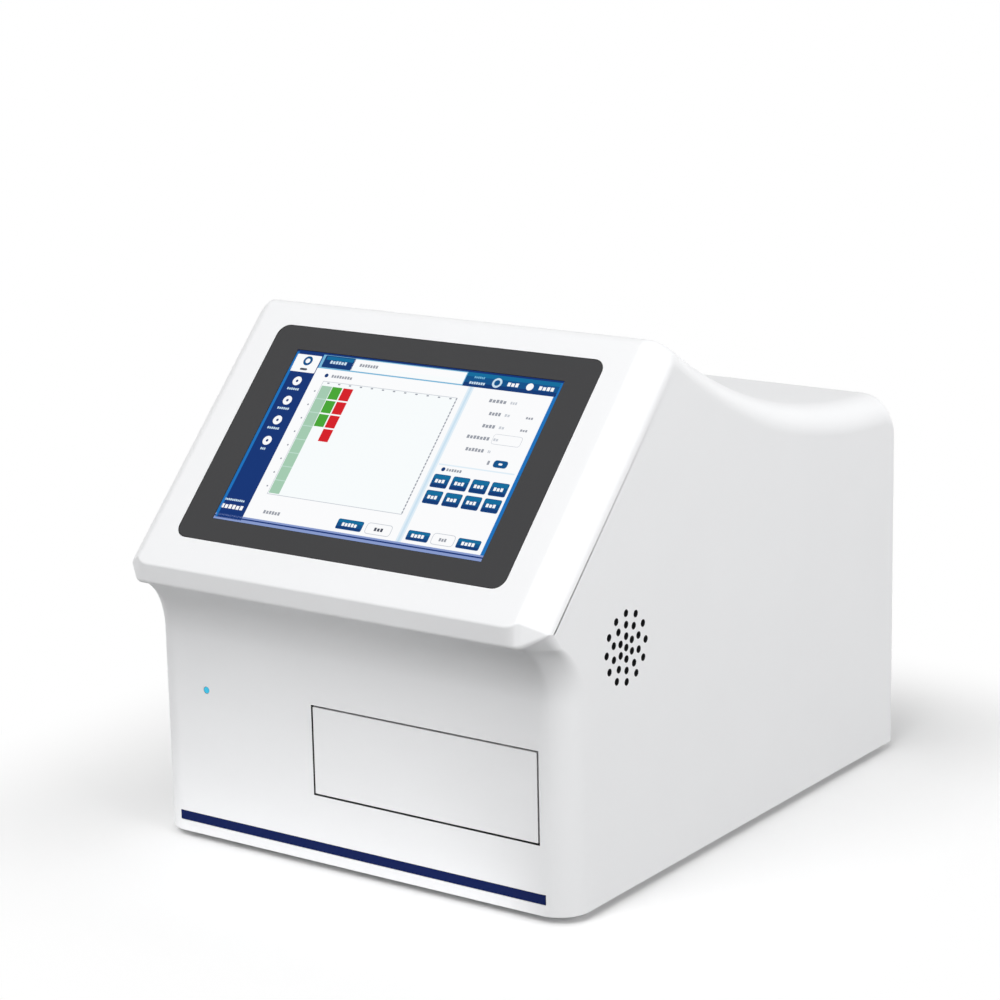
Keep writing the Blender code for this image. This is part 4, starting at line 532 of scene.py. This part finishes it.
FACE_BOTTOM = Vector((-LIP_REACH, RIM_HEIGHT + LIP_HEIGHT))
RIM_BOTTOM = Vector((-LIP_REACH + RIM_SETBACK, RIM_HEIGHT))
FACE_WAY = way(SCREEN_TILT)
FACE_INWARD = Vector((FACE_WAY.y, -FACE_WAY.x))
UP_SLOPE = Vector((0, FACE_WAY.x, FACE_WAY.y))
FACE_OUTWARD = Vector((0, -FACE_WAY.y, FACE_WAY.x))
FACE_TURN = Matrix((Vector((1, 0, 0)), UP_SLOPE, FACE_OUTWARD)).transposed().to_4x4()
CROWN = FACE_BOTTOM + FACE_WAY * FACE_LENGTH
SADDLE_WAY = way(-SADDLE_START)
SADDLE_INWARD = Vector((SADDLE_WAY.y, -SADDLE_WAY.x))
SADDLE_TOP = CROWN + SADDLE_WAY * CROWN_RUN
SADDLE_RUN = BODY_DEPTH - REAR_CORNER - SADDLE_REST - SADDLE_TOP.x
SADDLE_RADIUS = SADDLE_RUN / (math.sin(SADDLE_START) - math.sin(SADDLE_END))
SADDLE_CENTRE = SADDLE_TOP - SADDLE_INWARD * SADDLE_RADIUS
SADDLE_LOW = SADDLE_CENTRE - Vector((math.sin(SADDLE_END), math.cos(SADDLE_END))) * SADDLE_RADIUS
REAR_TOP = meet(SADDLE_LOW, way(-SADDLE_END), Vector((BODY_DEPTH, 0)), Vector((0, 1))).y
RIM_WAY = (FACE_BOTTOM - RIM_BOTTOM).normalized()
RIM_INWARD = Vector((RIM_WAY.y, -RIM_WAY.x))


def edge_round(x, half, radius):
    """How far a surface has fallen back at x, next to a side edge of the given radius."""
    past = x - (half - radius)
    if past <= 0 or radius <= 0:
        return 0.0
    return radius - math.sqrt(max(radius * radius - past * past, 0.0))


def face_fall(x, wall):
    """How far the screen face has fallen back at x, its chamfer eased in and rounded off."""
    steepness = CHAMFER_DEPTH / CHAMFER_WIDTH
    start = FACE_HALF - wall * (math.hypot(1, steepness) - 1) / steepness
    if wall:
        return max(0.0, x - start) * steepness
    past = x - start
    if past <= -EDGE_SOFT:
        return 0.0
    if past < EDGE_SOFT:
        return steepness * (past + EDGE_SOFT) ** 2 / (4 * EDGE_SOFT)
    turn = math.atan(steepness)
    middle = WIDTH / 2 - OUTER_SOFT
    meets = middle + OUTER_SOFT * math.sin(turn)
    if x < meets:
        return past * steepness
    lowest = (meets - start) * steepness + OUTER_SOFT * math.cos(turn)
    return lowest - math.sqrt(max(OUTER_SOFT ** 2 - (x - middle) ** 2, 0.0))


def top_fall(x, wall, share):
    """How far the top has fallen at x, where its side round has grown by share from the crown on."""
    radius = CROWN_ROUND + (SADDLE_ROUND - CROWN_ROUND) * min(1.0, 2 * share)
    return wall + edge_round(x, WIDTH / 2 - wall, radius - wall)


def brow_rise(x, wall):
    """How far up the slope the face starts at x: up round its lower corner, then back down its side."""
    reach = LIP_CORNER + wall
    radius = math.sqrt(2) * reach
    past = min(max(x - (FACE_HALF - reach), 0.0), reach)
    rise = radius - math.sqrt(radius * radius - past * past)
    if x > FACE_HALF:
        rise *= (WIDTH / 2 - x) / CHAMFER_WIDTH
    return rise


def housing_outline(x, wall, fine, rear_end, bottom_end):
    """The closed side outline at x from the middle, a wall's thickness in from the outside.

    fine is 1 for the outside and 0 for the hollow, which has fewer steps and sharp lip edges.
    """
    half = WIDTH / 2 - wall
    front = wall + edge_round(x, half, FRONT_ROUND - wall)
    face = wall + face_fall(x, wall)
    top = top_fall(x, wall, 0.0)
    rear = wall + edge_round(x, half, max(REAR_ROUND - wall, 0.0))
    rim_line = RIM_BOTTOM + RIM_INWARD * face
    rise = RIM_RISE * min((face - wall) / CHAMFER_DEPTH, 1.0)
    rim = meet(rim_line, RIM_WAY, RIM_BOTTOM + Vector((0, wall + rise)), Vector((1, 0)))
    brow = meet(rim_line, RIM_WAY, FACE_BOTTOM + FACE_INWARD * face, FACE_WAY)
    brow += FACE_WAY * brow_rise(x, wall)
    points = [Vector((front, bottom_end))]
    steps = UNDERCUT_STEPS[fine]
    for step in range(steps):
        share = step / steps
        turn = UNDERCUT_TURN * share
        across = UNDERCUT_RADIUS * (math.cos(turn) - 1) + wall * math.cos(turn)
        up = UNDERCUT_START + (UNDERCUT_RADIUS + wall) * math.sin(turn)
        ease = share * share * (3 - 2 * share)
        side_turn = (front - wall) * (1 - ease) + (rim.x - RIM_BOTTOM.x) * ease
        points.append(Vector((across + side_turn, up)))
    face_line = FACE_BOTTOM + FACE_INWARD * face
    saddle_line = SADDLE_TOP + SADDLE_INWARD * top
    crown = meet(face_line, FACE_WAY, saddle_line, SADDLE_WAY)
    if fine:
        undercut_end = points[-1]
        points += rounded_corner(undercut_end, rim, brow, RIM_SOFT, LIP_STEPS)
        points += rounded_corner(rim, brow, crown, BROW_SOFT, LIP_STEPS)
    else:
        points += [rim, brow]
    saddle_start = SADDLE_CENTRE + SADDLE_INWARD * (SADDLE_RADIUS + top)
    crown_radius = CROWN_RADIUS - min(wall, CROWN_RADIUS / 2)
    points += rounded_corner(brow, crown, saddle_start, crown_radius, CROWN_STEPS[fine])
    steps = SADDLE_STEPS[fine]
    for step in range(steps + 1):
        fall = SADDLE_START + (SADDLE_END - SADDLE_START) * step / steps
        inward = Vector((-math.sin(fall), -math.cos(fall)))
        points.append(SADDLE_CENTRE + inward * (SADDLE_RADIUS + top_fall(x, wall, step / steps)))
    saddle_end = points[-1]
    corner = meet(saddle_end, way(-SADDLE_END), Vector((BODY_DEPTH - rear, 0)), Vector((0, 1)))
    points += rounded_corner(saddle_end, corner, corner - Vector((0, 1)), REAR_CORNER - wall,
                             REAR_STEPS[fine])
    for y, z in rear_end(rear):
        points.append(Vector((y, z)))
    return points


def half_stations(wall, fine):
    """Distances from the middle at which the housing's outline changes."""
    half = WIDTH / 2 - wall
    if not fine:
        spots = [FACE_HALF - LIP_CORNER - wall, FACE_HALF - (LIP_CORNER + wall) / 2, FACE_HALF]
        return spots + [half - (FRONT_ROUND - wall) * (1 - math.sin(turn)) for turn in INNER_TURNS]
    spots = {FACE_HALF - LIP_CORNER - BROW_LEAD, half}
    for step in range(STATION_STEPS + 1):
        turn = math.pi / 2 * step / STATION_STEPS
        spots.add(FACE_HALF - LIP_CORNER + (LIP_CORNER + EDGE_SOFT) * step / STATION_STEPS)
        spots.add(half - (CHAMFER_WIDTH - EDGE_SOFT) * (1 - math.sin(turn)))
    return sorted(spots)


def loft(name, wall, fine, rear_end, bottom_end):
    """A closed solid through the housing's outlines, from the left side to the right."""
    stations = half_stations(wall, fine)
    spread = [-x for x in reversed(stations)] + stations
    shape = bmesh.new()
    rings = []
    for x in spread:
        ring = []
        for point in housing_outline(abs(x), wall, fine, rear_end, bottom_end):
            ring.append(shape.verts.new((x, point.x + FRONT, point.y + BOTTOM)))
        rings.append(ring)
    for first, second in zip(rings, rings[1:]):
        for index in range(len(first)):
            after = (index + 1) % len(first)
            shape.faces.new((first[index], first[after], second[after], second[index]))
    shape.faces.new(rings[0])
    shape.faces.new(list(reversed(rings[-1])))
    return placed(name, shape)


def placed(name, shape):
    """Turns a bmesh into an object, its faces looking out."""
    mesh = bpy.data.meshes.new(name)
    bmesh.ops.recalc_face_normals(shape, faces=shape.faces)
    shape.to_mesh(mesh)
    shape.free()
    made = bpy.data.objects.new(name, mesh)
    bpy.context.scene.collection.objects.link(made)
    return made


def outer_rear(rear):
    """The outside's last corner, at its lower rear."""
    return [(BODY_DEPTH - rear, 0.0)]


def inner_rear(rear):
    """The hollow's last corners: under the lintel it runs out through the rear and the bottom."""
    top = REAR_TOP - REAR_LINTEL
    return [(BODY_DEPTH - rear, top), (BODY_DEPTH + PAST, top), (BODY_DEPTH + PAST, -PAST)]


def cut_box(name, size, matrix, corner=0.0):
    """A block to cut with, centred on the matrix, its four corners about Z rounded."""
    shape = bmesh.new()
    spots = []
    for quarter, (side, end) in enumerate(((1, 1), (-1, 1), (-1, -1), (1, -1))):
        for step in range(CUT_CORNER_STEPS + 1 if corner else 1):
            turn = math.pi / 2 * (quarter + step / CUT_CORNER_STEPS)
            x = side * (size[0] / 2 - corner) + corner * math.cos(turn)
            y = end * (size[1] / 2 - corner) + corner * math.sin(turn)
            spots.append(shape.verts.new((x, y, -size[2] / 2)))
    face = shape.faces.new(spots)
    grown = bmesh.ops.extrude_face_region(shape, geom=[face])["geom"]
    moved = [spot for spot in grown if isinstance(spot, bmesh.types.BMVert)]
    bmesh.ops.translate(shape, verts=moved, vec=(0, 0, size[2]))
    shape.transform(matrix)
    return placed(name, shape)


def front_block(name, x, z, width, height, depth):
    """A block cut this deep into the lower front."""
    return cut_box(name, (width, 2 * depth, height), Matrix.Translation((x, FRONT, z)))


def round_cutters(name, spots, radius, axis):
    """Round holes along an axis, one at each spot."""
    shape = bmesh.new()
    turn = Vector((0, 0, 1)).rotation_difference(Vector(axis)).to_matrix().to_4x4()
    for spot in spots:
        bmesh.ops.create_cone(shape, cap_ends=True, segments=ROUND_SIDES, radius1=radius, radius2=radius,
                              depth=CUT_DEPTH, matrix=Matrix.Translation(spot) @ turn)
    return placed(name, shape)


def screen_posts(face_axes):
    """Four posts behind the screen face that carry the screen's bracket."""
    shape = bmesh.new()
    middle = POST_SUNK - WALL - POST_LENGTH / 2
    for side in (-1, 1):
        for end in (-1, 1):
            spot = Vector((side * POST_SPOTS[0], end * POST_SPOTS[1], middle))
            bmesh.ops.create_cone(shape, cap_ends=True, segments=ROUND_SIDES, radius1=POST_RADIUS,
                                  radius2=POST_RADIUS, depth=POST_LENGTH, matrix=Matrix.Translation(spot))
    shape.transform(face_axes)
    return placed("screen_posts", shape)


def grille_spots():
    """The grille's holes in rings, the first of each ring on top."""
    spots = []
    for ring, count in enumerate(GRILLE_COUNTS):
        for index in range(count):
            turn = math.pi / 2 + 2 * math.pi * index / count
            reach = ring * GRILLE_PITCH
            spots.append((WIDTH / 2, GRILLE_MIDDLE[0] + reach * math.cos(turn),
                          GRILLE_MIDDLE[1] + reach * math.sin(turn)))
    return spots


def carve(target, steps):
    """Cuts tools out of a mesh or joins them to it, in order; a cut's walls take its tool's finish."""
    for tool, operation in steps:
        change = target.modifiers.new("cut", "BOOLEAN")
        change.operation = operation
        change.solver = "EXACT"
        change.material_mode = "TRANSFER"
        change.object = tool
    bpy.context.view_layer.update()
    graph = bpy.context.evaluated_depsgraph_get()
    mesh = bpy.data.meshes.new_from_object(target.evaluated_get(graph))
    target.modifiers.clear()
    target.data = mesh
    for tool, _ in steps:
        bpy.data.objects.remove(tool)


def skin_steps():
    """The hollow, the screen's posts and the openings, in the order in which they shape the skin."""
    hollow = loft("hollow", WALL, 0, inner_rear, -PAST)
    middle = FACE_BOTTOM + FACE_WAY * WINDOW_UP
    face_axes = Matrix.Translation((0, middle.x + FRONT, middle.y + BOTTOM)) @ FACE_TURN
    window = cut_box("window", (*WINDOW_SIZE, CUT_DEPTH), face_axes, WINDOW_CORNER)
    posts = screen_posts(face_axes)
    door = front_block("door", *DOOR_OPENING, 2 * WALL)
    groove = front_block("groove", *STRIP_GROOVE, STRIP_DEPTH)
    lamp = round_cutters("lamp", [(LAMP_HOLE[0], FRONT, LAMP_HOLE[1])], LAMP_HOLE[2], (0, 1, 0))
    grille = round_cutters("grille", grille_spots(), GRILLE_HOLE, (1, 0, 0))
    for tool in (hollow, groove, posts):
        tool.data.materials.append(FINISHES["white_abs"])
    # Painted shade: the walls cut by the window, the door's gap, the lamp's hole and the grille's holes
    # take black plastic, as dark as the white moulding's walls would look in the shade of these openings.
    for tool in (window, door, lamp, grille):
        tool.data.materials.append(FINISHES["black_plastic"])
    steps = [(hollow, "DIFFERENCE"), (posts, "UNION")]
    return steps + [(tool, "DIFFERENCE") for tool in (window, door, groove, lamp, grille)]


def make_skin():
    """The housing's shell with smooth curves, in place of the CAD shell."""
    skin = loft("housing_skin", 0.0, 1, outer_rear, 0.0)
    skin.data.materials.append(FINISHES["white_abs"])
    carve(skin, skin_steps())
    for face in skin.data.polygons:
        face.use_smooth = True
    skin.data.set_sharp_from_angle(angle=SHARP_ANGLE)
    even = skin.modifiers.new("even_shading", "WEIGHTED_NORMAL")
    even.keep_sharp = True
    even.weight = 100
    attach(skin, "housing")
    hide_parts("housing_shell")


# Screen

def lit_colour(name, colour):
    """A colour that the display shines, behind smooth glass."""
    made, shader = shader_of("display_" + name)
    shader.inputs["Base Color"].default_value = (0.002, 0.002, 0.002, 1)
    shader.inputs["Emission Color"].default_value = (*colour, 1)
    shader.inputs["Emission Strength"].default_value = SCREEN_STRENGTH
    shader.inputs["Roughness"].default_value = 0.25
    shader.inputs["Specular IOR Level"].default_value = 0.03
    return made


class Picture:
    """Flat coloured shapes stacked in thin layers on the display, collected into one mesh."""

    def __init__(self, name):
        self.name = name
        self.shape = bmesh.new()
        self.finishes = []

    def place(self, x, y, layer):
        """The point of the display's face at a pixel, raised by a number of layers."""
        wide, high = SCREEN_PIXELS
        across = (x / wide - 0.5) * SCREEN_SIZE[0]
        up = (0.5 - y / high) * SCREEN_SIZE[1]
        return SCREEN_AXES @ Vector((across, up, layer * LAYER))

    def fill(self, outline, finish, layer):
        """One flat face inside an outline of pixels."""
        if finish not in self.finishes:
            self.finishes.append(finish)
        spots = [self.shape.verts.new(self.place(x, y, layer)) for x, y in outline]
        face = self.shape.faces.new(spots)
        face.material_index = self.finishes.index(finish)

    def block(self, left, top, right, bottom, finish, layer, corner=0):
        """A rectangle, with round corners if a radius is given."""
        corners = ((right, bottom, 0), (left, bottom, 1), (left, top, 2), (right, top, 3))
        outline = []
        for x, y, quarter in corners:
            inward = (-1 if x == right else 1, -1 if y == bottom else 1)
            for step in range(BLOCK_CORNER_STEPS + 1 if corner else 1):
                turn = math.pi / 2 * (quarter + step / BLOCK_CORNER_STEPS)
                outline.append((x + corner * (inward[0] + math.cos(turn)),
                                y + corner * (inward[1] + math.sin(turn))))
        self.fill(outline, finish, layer)

    def disc(self, x, y, radius, finish, layer):
        """A round spot."""
        turns = [2 * math.pi * step / ROUND_SIDES for step in range(ROUND_SIDES)]
        outline = [(x + radius * math.cos(turn), y + radius * math.sin(turn)) for turn in turns]
        self.fill(outline, finish, layer)

    def ring(self, x, y, radius, inner, finish, ground, layer):
        """A round spot with a smaller one of the ground's colour on it."""
        self.disc(x, y, radius, finish, layer)
        self.disc(x, y, inner, ground, layer + 1)

    def bar(self, x, y, length, height, finish, layer):
        """A short bar with round ends, centred on x and y."""
        self.block(x - length / 2, y - height / 2, x + length / 2, y + height / 2, finish, layer,
                   height / 2)

    def word(self, x, y, length, height, finish, layer):
        """A row of short marks that stands for a word, centred on x and y."""
        count = max(2, round(length / height))
        pitch = length / count
        for index in range(count):
            left = x - length / 2 + index * pitch
            drop = height * (MARK_DROP if index % 3 == 1 else 0.0)
            right = left + MARK_WIDTH * pitch
            self.block(left, y - height / 2 + drop, right, y + height / 2, finish, layer)

    def frame(self, left, top, right, bottom, line, finish, ground, layer, corner=0):
        """A rectangle drawn as a line of this width round the ground's colour."""
        self.block(left, top, right, bottom, finish, layer, corner)
        self.block(left + line, top + line, right - line, bottom - line, ground, layer + 1,
                   max(corner - line, 0))

    def button(self, left, top, right, bottom, finish, word, layer):
        """A button, lighter above and darker below, with a word on it."""
        self.block(left, top, right, bottom, finish, layer, BUTTON_CORNER)
        high = bottom - top
        inner = (left + BUTTON_EDGE, right - BUTTON_EDGE)
        self.block(inner[0], top + BUTTON_EDGE, inner[1], top + BUTTON_TOP * high, "teal", layer + 1)
        self.block(inner[0], bottom - BUTTON_FOOT * high, inner[1], bottom - BUTTON_EDGE, "deep_blue",
                   layer + 1)
        self.word((left + right) / 2, (top + bottom) / 2, (right - left) * BUTTON_WORD,
                  BUTTON_WORD_HEIGHT, word, layer + 2)

    def build(self):
        """One mesh of all the shapes, on the housing."""
        mesh = bpy.data.meshes.new(self.name)
        bmesh.ops.recalc_face_normals(self.shape, faces=self.shape.faces)
        self.shape.to_mesh(mesh)
        self.shape.free()
        for finish in self.finishes:
            mesh.materials.append(DISPLAY[finish])
        made = bpy.data.objects.new(self.name, mesh)
        bpy.context.scene.collection.objects.link(made)
        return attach(made, "housing")


def screen_axes():
    """X across the display, Y up its slope and Z out of it, from the middle of its face."""
    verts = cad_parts["lcd_panel"].data.vertices
    top = max(vert.co.dot(FACE_OUTWARD) for vert in verts)
    face = [vert.co for vert in verts if vert.co.dot(FACE_OUTWARD) > top - LAYER]
    middle = (min(co.dot(UP_SLOPE) for co in face) + max(co.dot(UP_SLOPE) for co in face)) / 2
    return Matrix.Translation(UP_SLOPE * middle + FACE_OUTWARD * top) @ FACE_TURN


SCREEN_AXES = screen_axes()
DISPLAY = {name: lit_colour(name, colour) for name, colour in SCREEN_COLOURS.items()}


def draw_ground():
    """The display's background: its rim, white page, top band and pale dividing lines."""
    ground = Picture("display_ground")
    ground.block(0, 0, 1280, 800, "azure", 1)
    ground.block(6, 72, 1264, 776, "white", 2)
    ground.block(138, 8, 1272, 72, "sky_blue", 2)
    ground.block(0, 0, 1280, 8, "navy", 3)
    ground.block(0, 774, 1280, 782, "periwinkle", 3)
    ground.block(0, 782, 1280, 788, "navy", 3)
    ground.block(0, 788, 1280, 800, "periwinkle", 3)
    ground.block(874, 72, 882, 774, "mist_blue", 3)
    ground.block(882, 72, 892, 774, "pale_blue", 3)
    ground.block(892, 72, 900, 774, "mist_blue", 3)
    ground.block(905, 420, 1252, 426, "mist_blue", 3)
    ground.build()


def draw_sidebar():
    """Dark column of round icons down the left side, the chosen one on a white tile."""
    side = Picture("display_sidebar")
    side.block(6, 8, 136, 792, "navy", 3)
    side.block(10, 18, 132, 100, "white", 4, 4)
    side.ring(74, 46, 22, 11, "mid_blue", "white", 5)
    side.bar(72, 86, 36, 10, "ink", 5)
    for y, length in ((143, 60), (236, 60), (330, 60), (427, 26)):
        side.ring(70, y, 21, 6, "white", "navy", 4)
        side.word(70, y + 38, length, 10, "pale_blue", 4)
    side.word(60, 708, 100, 9, "pale_blue", 4)
    side.word(65, 739, 112, 19, "white", 4)
    side.block(6, 8, 14, 792, "azure", 4)
    side.build()


def draw_top_band():
    """Tabs on the left of the top band and status marks on the right."""
    band = Picture("display_top_band")
    band.block(150, 10, 300, 66, "deep_blue", 3, 5)
    band.block(158, 14, 292, 30, "teal", 4)
    band.word(226, 39, 84, 14, "pale_blue", 5)
    band.block(296, 12, 838, 66, "white", 3)
    band.block(300, 44, 834, 62, "tint", 4)
    band.word(376, 37, 92, 14, "grey_ink", 5)
    band.block(842, 8, 1272, 72, "mid_blue", 3)
    band.block(842, 8, 1272, 26, "teal", 4)
    band.block(842, 54, 1272, 72, "deep_blue", 4)
    band.word(905, 28, 50, 9, "sky_blue", 5)
    band.word(905, 54, 74, 11, "pale_blue", 5)
    band.ring(992, 42, 22, 13, "pale_blue", "mid_blue", 5)
    band.word(1068, 42, 54, 17, "white", 5)
    band.disc(1143, 42, 16, "white", 5)
    band.word(1221, 42, 72, 17, "white", 5)
    band.build()


def draw_plate_map():
    """Map of the plate's wells, with the first columns coloured, and its page's buttons."""
    plate = Picture("display_plate_map")
    left, top = FIRST_CELL
    right = left + CELL_COLUMNS * CELL_PITCH[0]
    bottom = top + CELL_ROWS * CELL_PITCH[1]
    plate.frame(left - 6, top - 22, right, bottom, 3, "line_grey", "tint", 3)
    for mark in range(DASH_COUNT):
        y = top - 20 + mark * DASH_PITCH
        plate.block(right - 5, y, right + 1, y + DASH_LENGTH, "grey_ink", 5)
    wide = CELL_SIZE[0] + 3
    last = top + (CELL_ROWS - 1) * CELL_PITCH[1] + CELL_SIZE[1]
    plate.block(left, top, left + wide, last, "pale_green", 5)
    for row in range(1, CELL_ROWS):
        y = top + row * CELL_PITCH[1] - 5
        plate.block(left, y, left + wide, y + 4, "line_green", 6)
    filled = (("green", 3), ("red", 4))
    for column, (finish, count) in enumerate(filled, 1):
        for row in range(count):
            x = left + column * CELL_PITCH[0]
            y = top + row * CELL_PITCH[1]
            plate.block(x, y, x + CELL_SIZE[0], y + CELL_SIZE[1], finish, 5)
    for column in range(CELL_COLUMNS):
        x = left + column * CELL_PITCH[0] + CELL_SIZE[0] / 2
        plate.bar(x, top - 14, 12, 6, "grey_ink", 5)
    for row in range(CELL_ROWS):
        y = top + row * CELL_PITCH[1] + CELL_SIZE[1] / 2
        plate.bar(left - 22, y, 8, 8, "grey_ink", 5)
    plate.disc(197, 102, 9, "deep_blue", 4)
    plate.word(275, 102, 104, 13, "grey_ink", 4)
    plate.word(262, 738, 84, 15, "grey_ink", 4)
    plate.button(580, 715, 702, 760, "mid_blue", "white", 4)
    plate.frame(718, 712, 838, 762, 3, "line_grey", "white", 4, 14)
    plate.word(780, 738, 44, 15, "ink", 6)
    plate.build()


def draw_form():
    """Form on the right: its fields, the block of buttons below and the last row of buttons."""
    form = Picture("display_form")
    for y, length in ((122, 82), (178, 56), (234, 60), (288, 106), (342, 86)):
        form.word(1076 - length / 2, y, length, 15, "grey_ink", 4)
    form.frame(1086, 262, 1218, 308, 2, "line_grey", "white", 4, 12)
    for y, length in ((122, 32), (178, 26), (234, 26), (288, 24), (342, 14)):
        form.word(1092 + length / 2, y, length, 12, "line_grey", 6)
    for y in (178, 234):
        form.word(1206, y, 34, 10, "grey_ink", 4)
    form.bar(1117, 389, 8, 18, "grey_ink", 4)
    form.block(1140, 373, 1204, 405, "mid_blue", 4, 12)
    form.bar(1172, 389, 18, 9, "white", 5)
    form.disc(935, 443, 9, "deep_blue", 4)
    form.word(986, 443, 72, 12, "grey_ink", 4)
    for row in range(BUTTON_ROWS):
        for column in range(BUTTON_COLUMNS):
            x = 908 + column * BUTTON_PITCH[0]
            y = 466 + row * BUTTON_PITCH[1]
            form.button(x, y, x + BUTTON_SIZE[0], y + BUTTON_SIZE[1], "mid_blue", "white", 4)
    form.button(912, 717, 1014, 760, "mid_blue", "white", 4)
    form.frame(1026, 712, 1130, 762, 3, "line_grey", "white", 4, 14)
    form.word(1078, 738, 36, 14, "grey_ink", 6)
    form.button(1142, 717, 1246, 760, "mid_blue", "white", 4)
    form.build()


FINISHES = make_finishes()
finish_nodes()
make_skin()
draw_ground()
draw_sidebar()
draw_top_band()
draw_plate_map()
draw_form()
make_camera()
make_world()
make_floor()
for light, (place, size, power) in LIGHTS.items():
    make_light(light, place, size, power)
bpy.context.scene.view_settings.view_transform = "Standard"
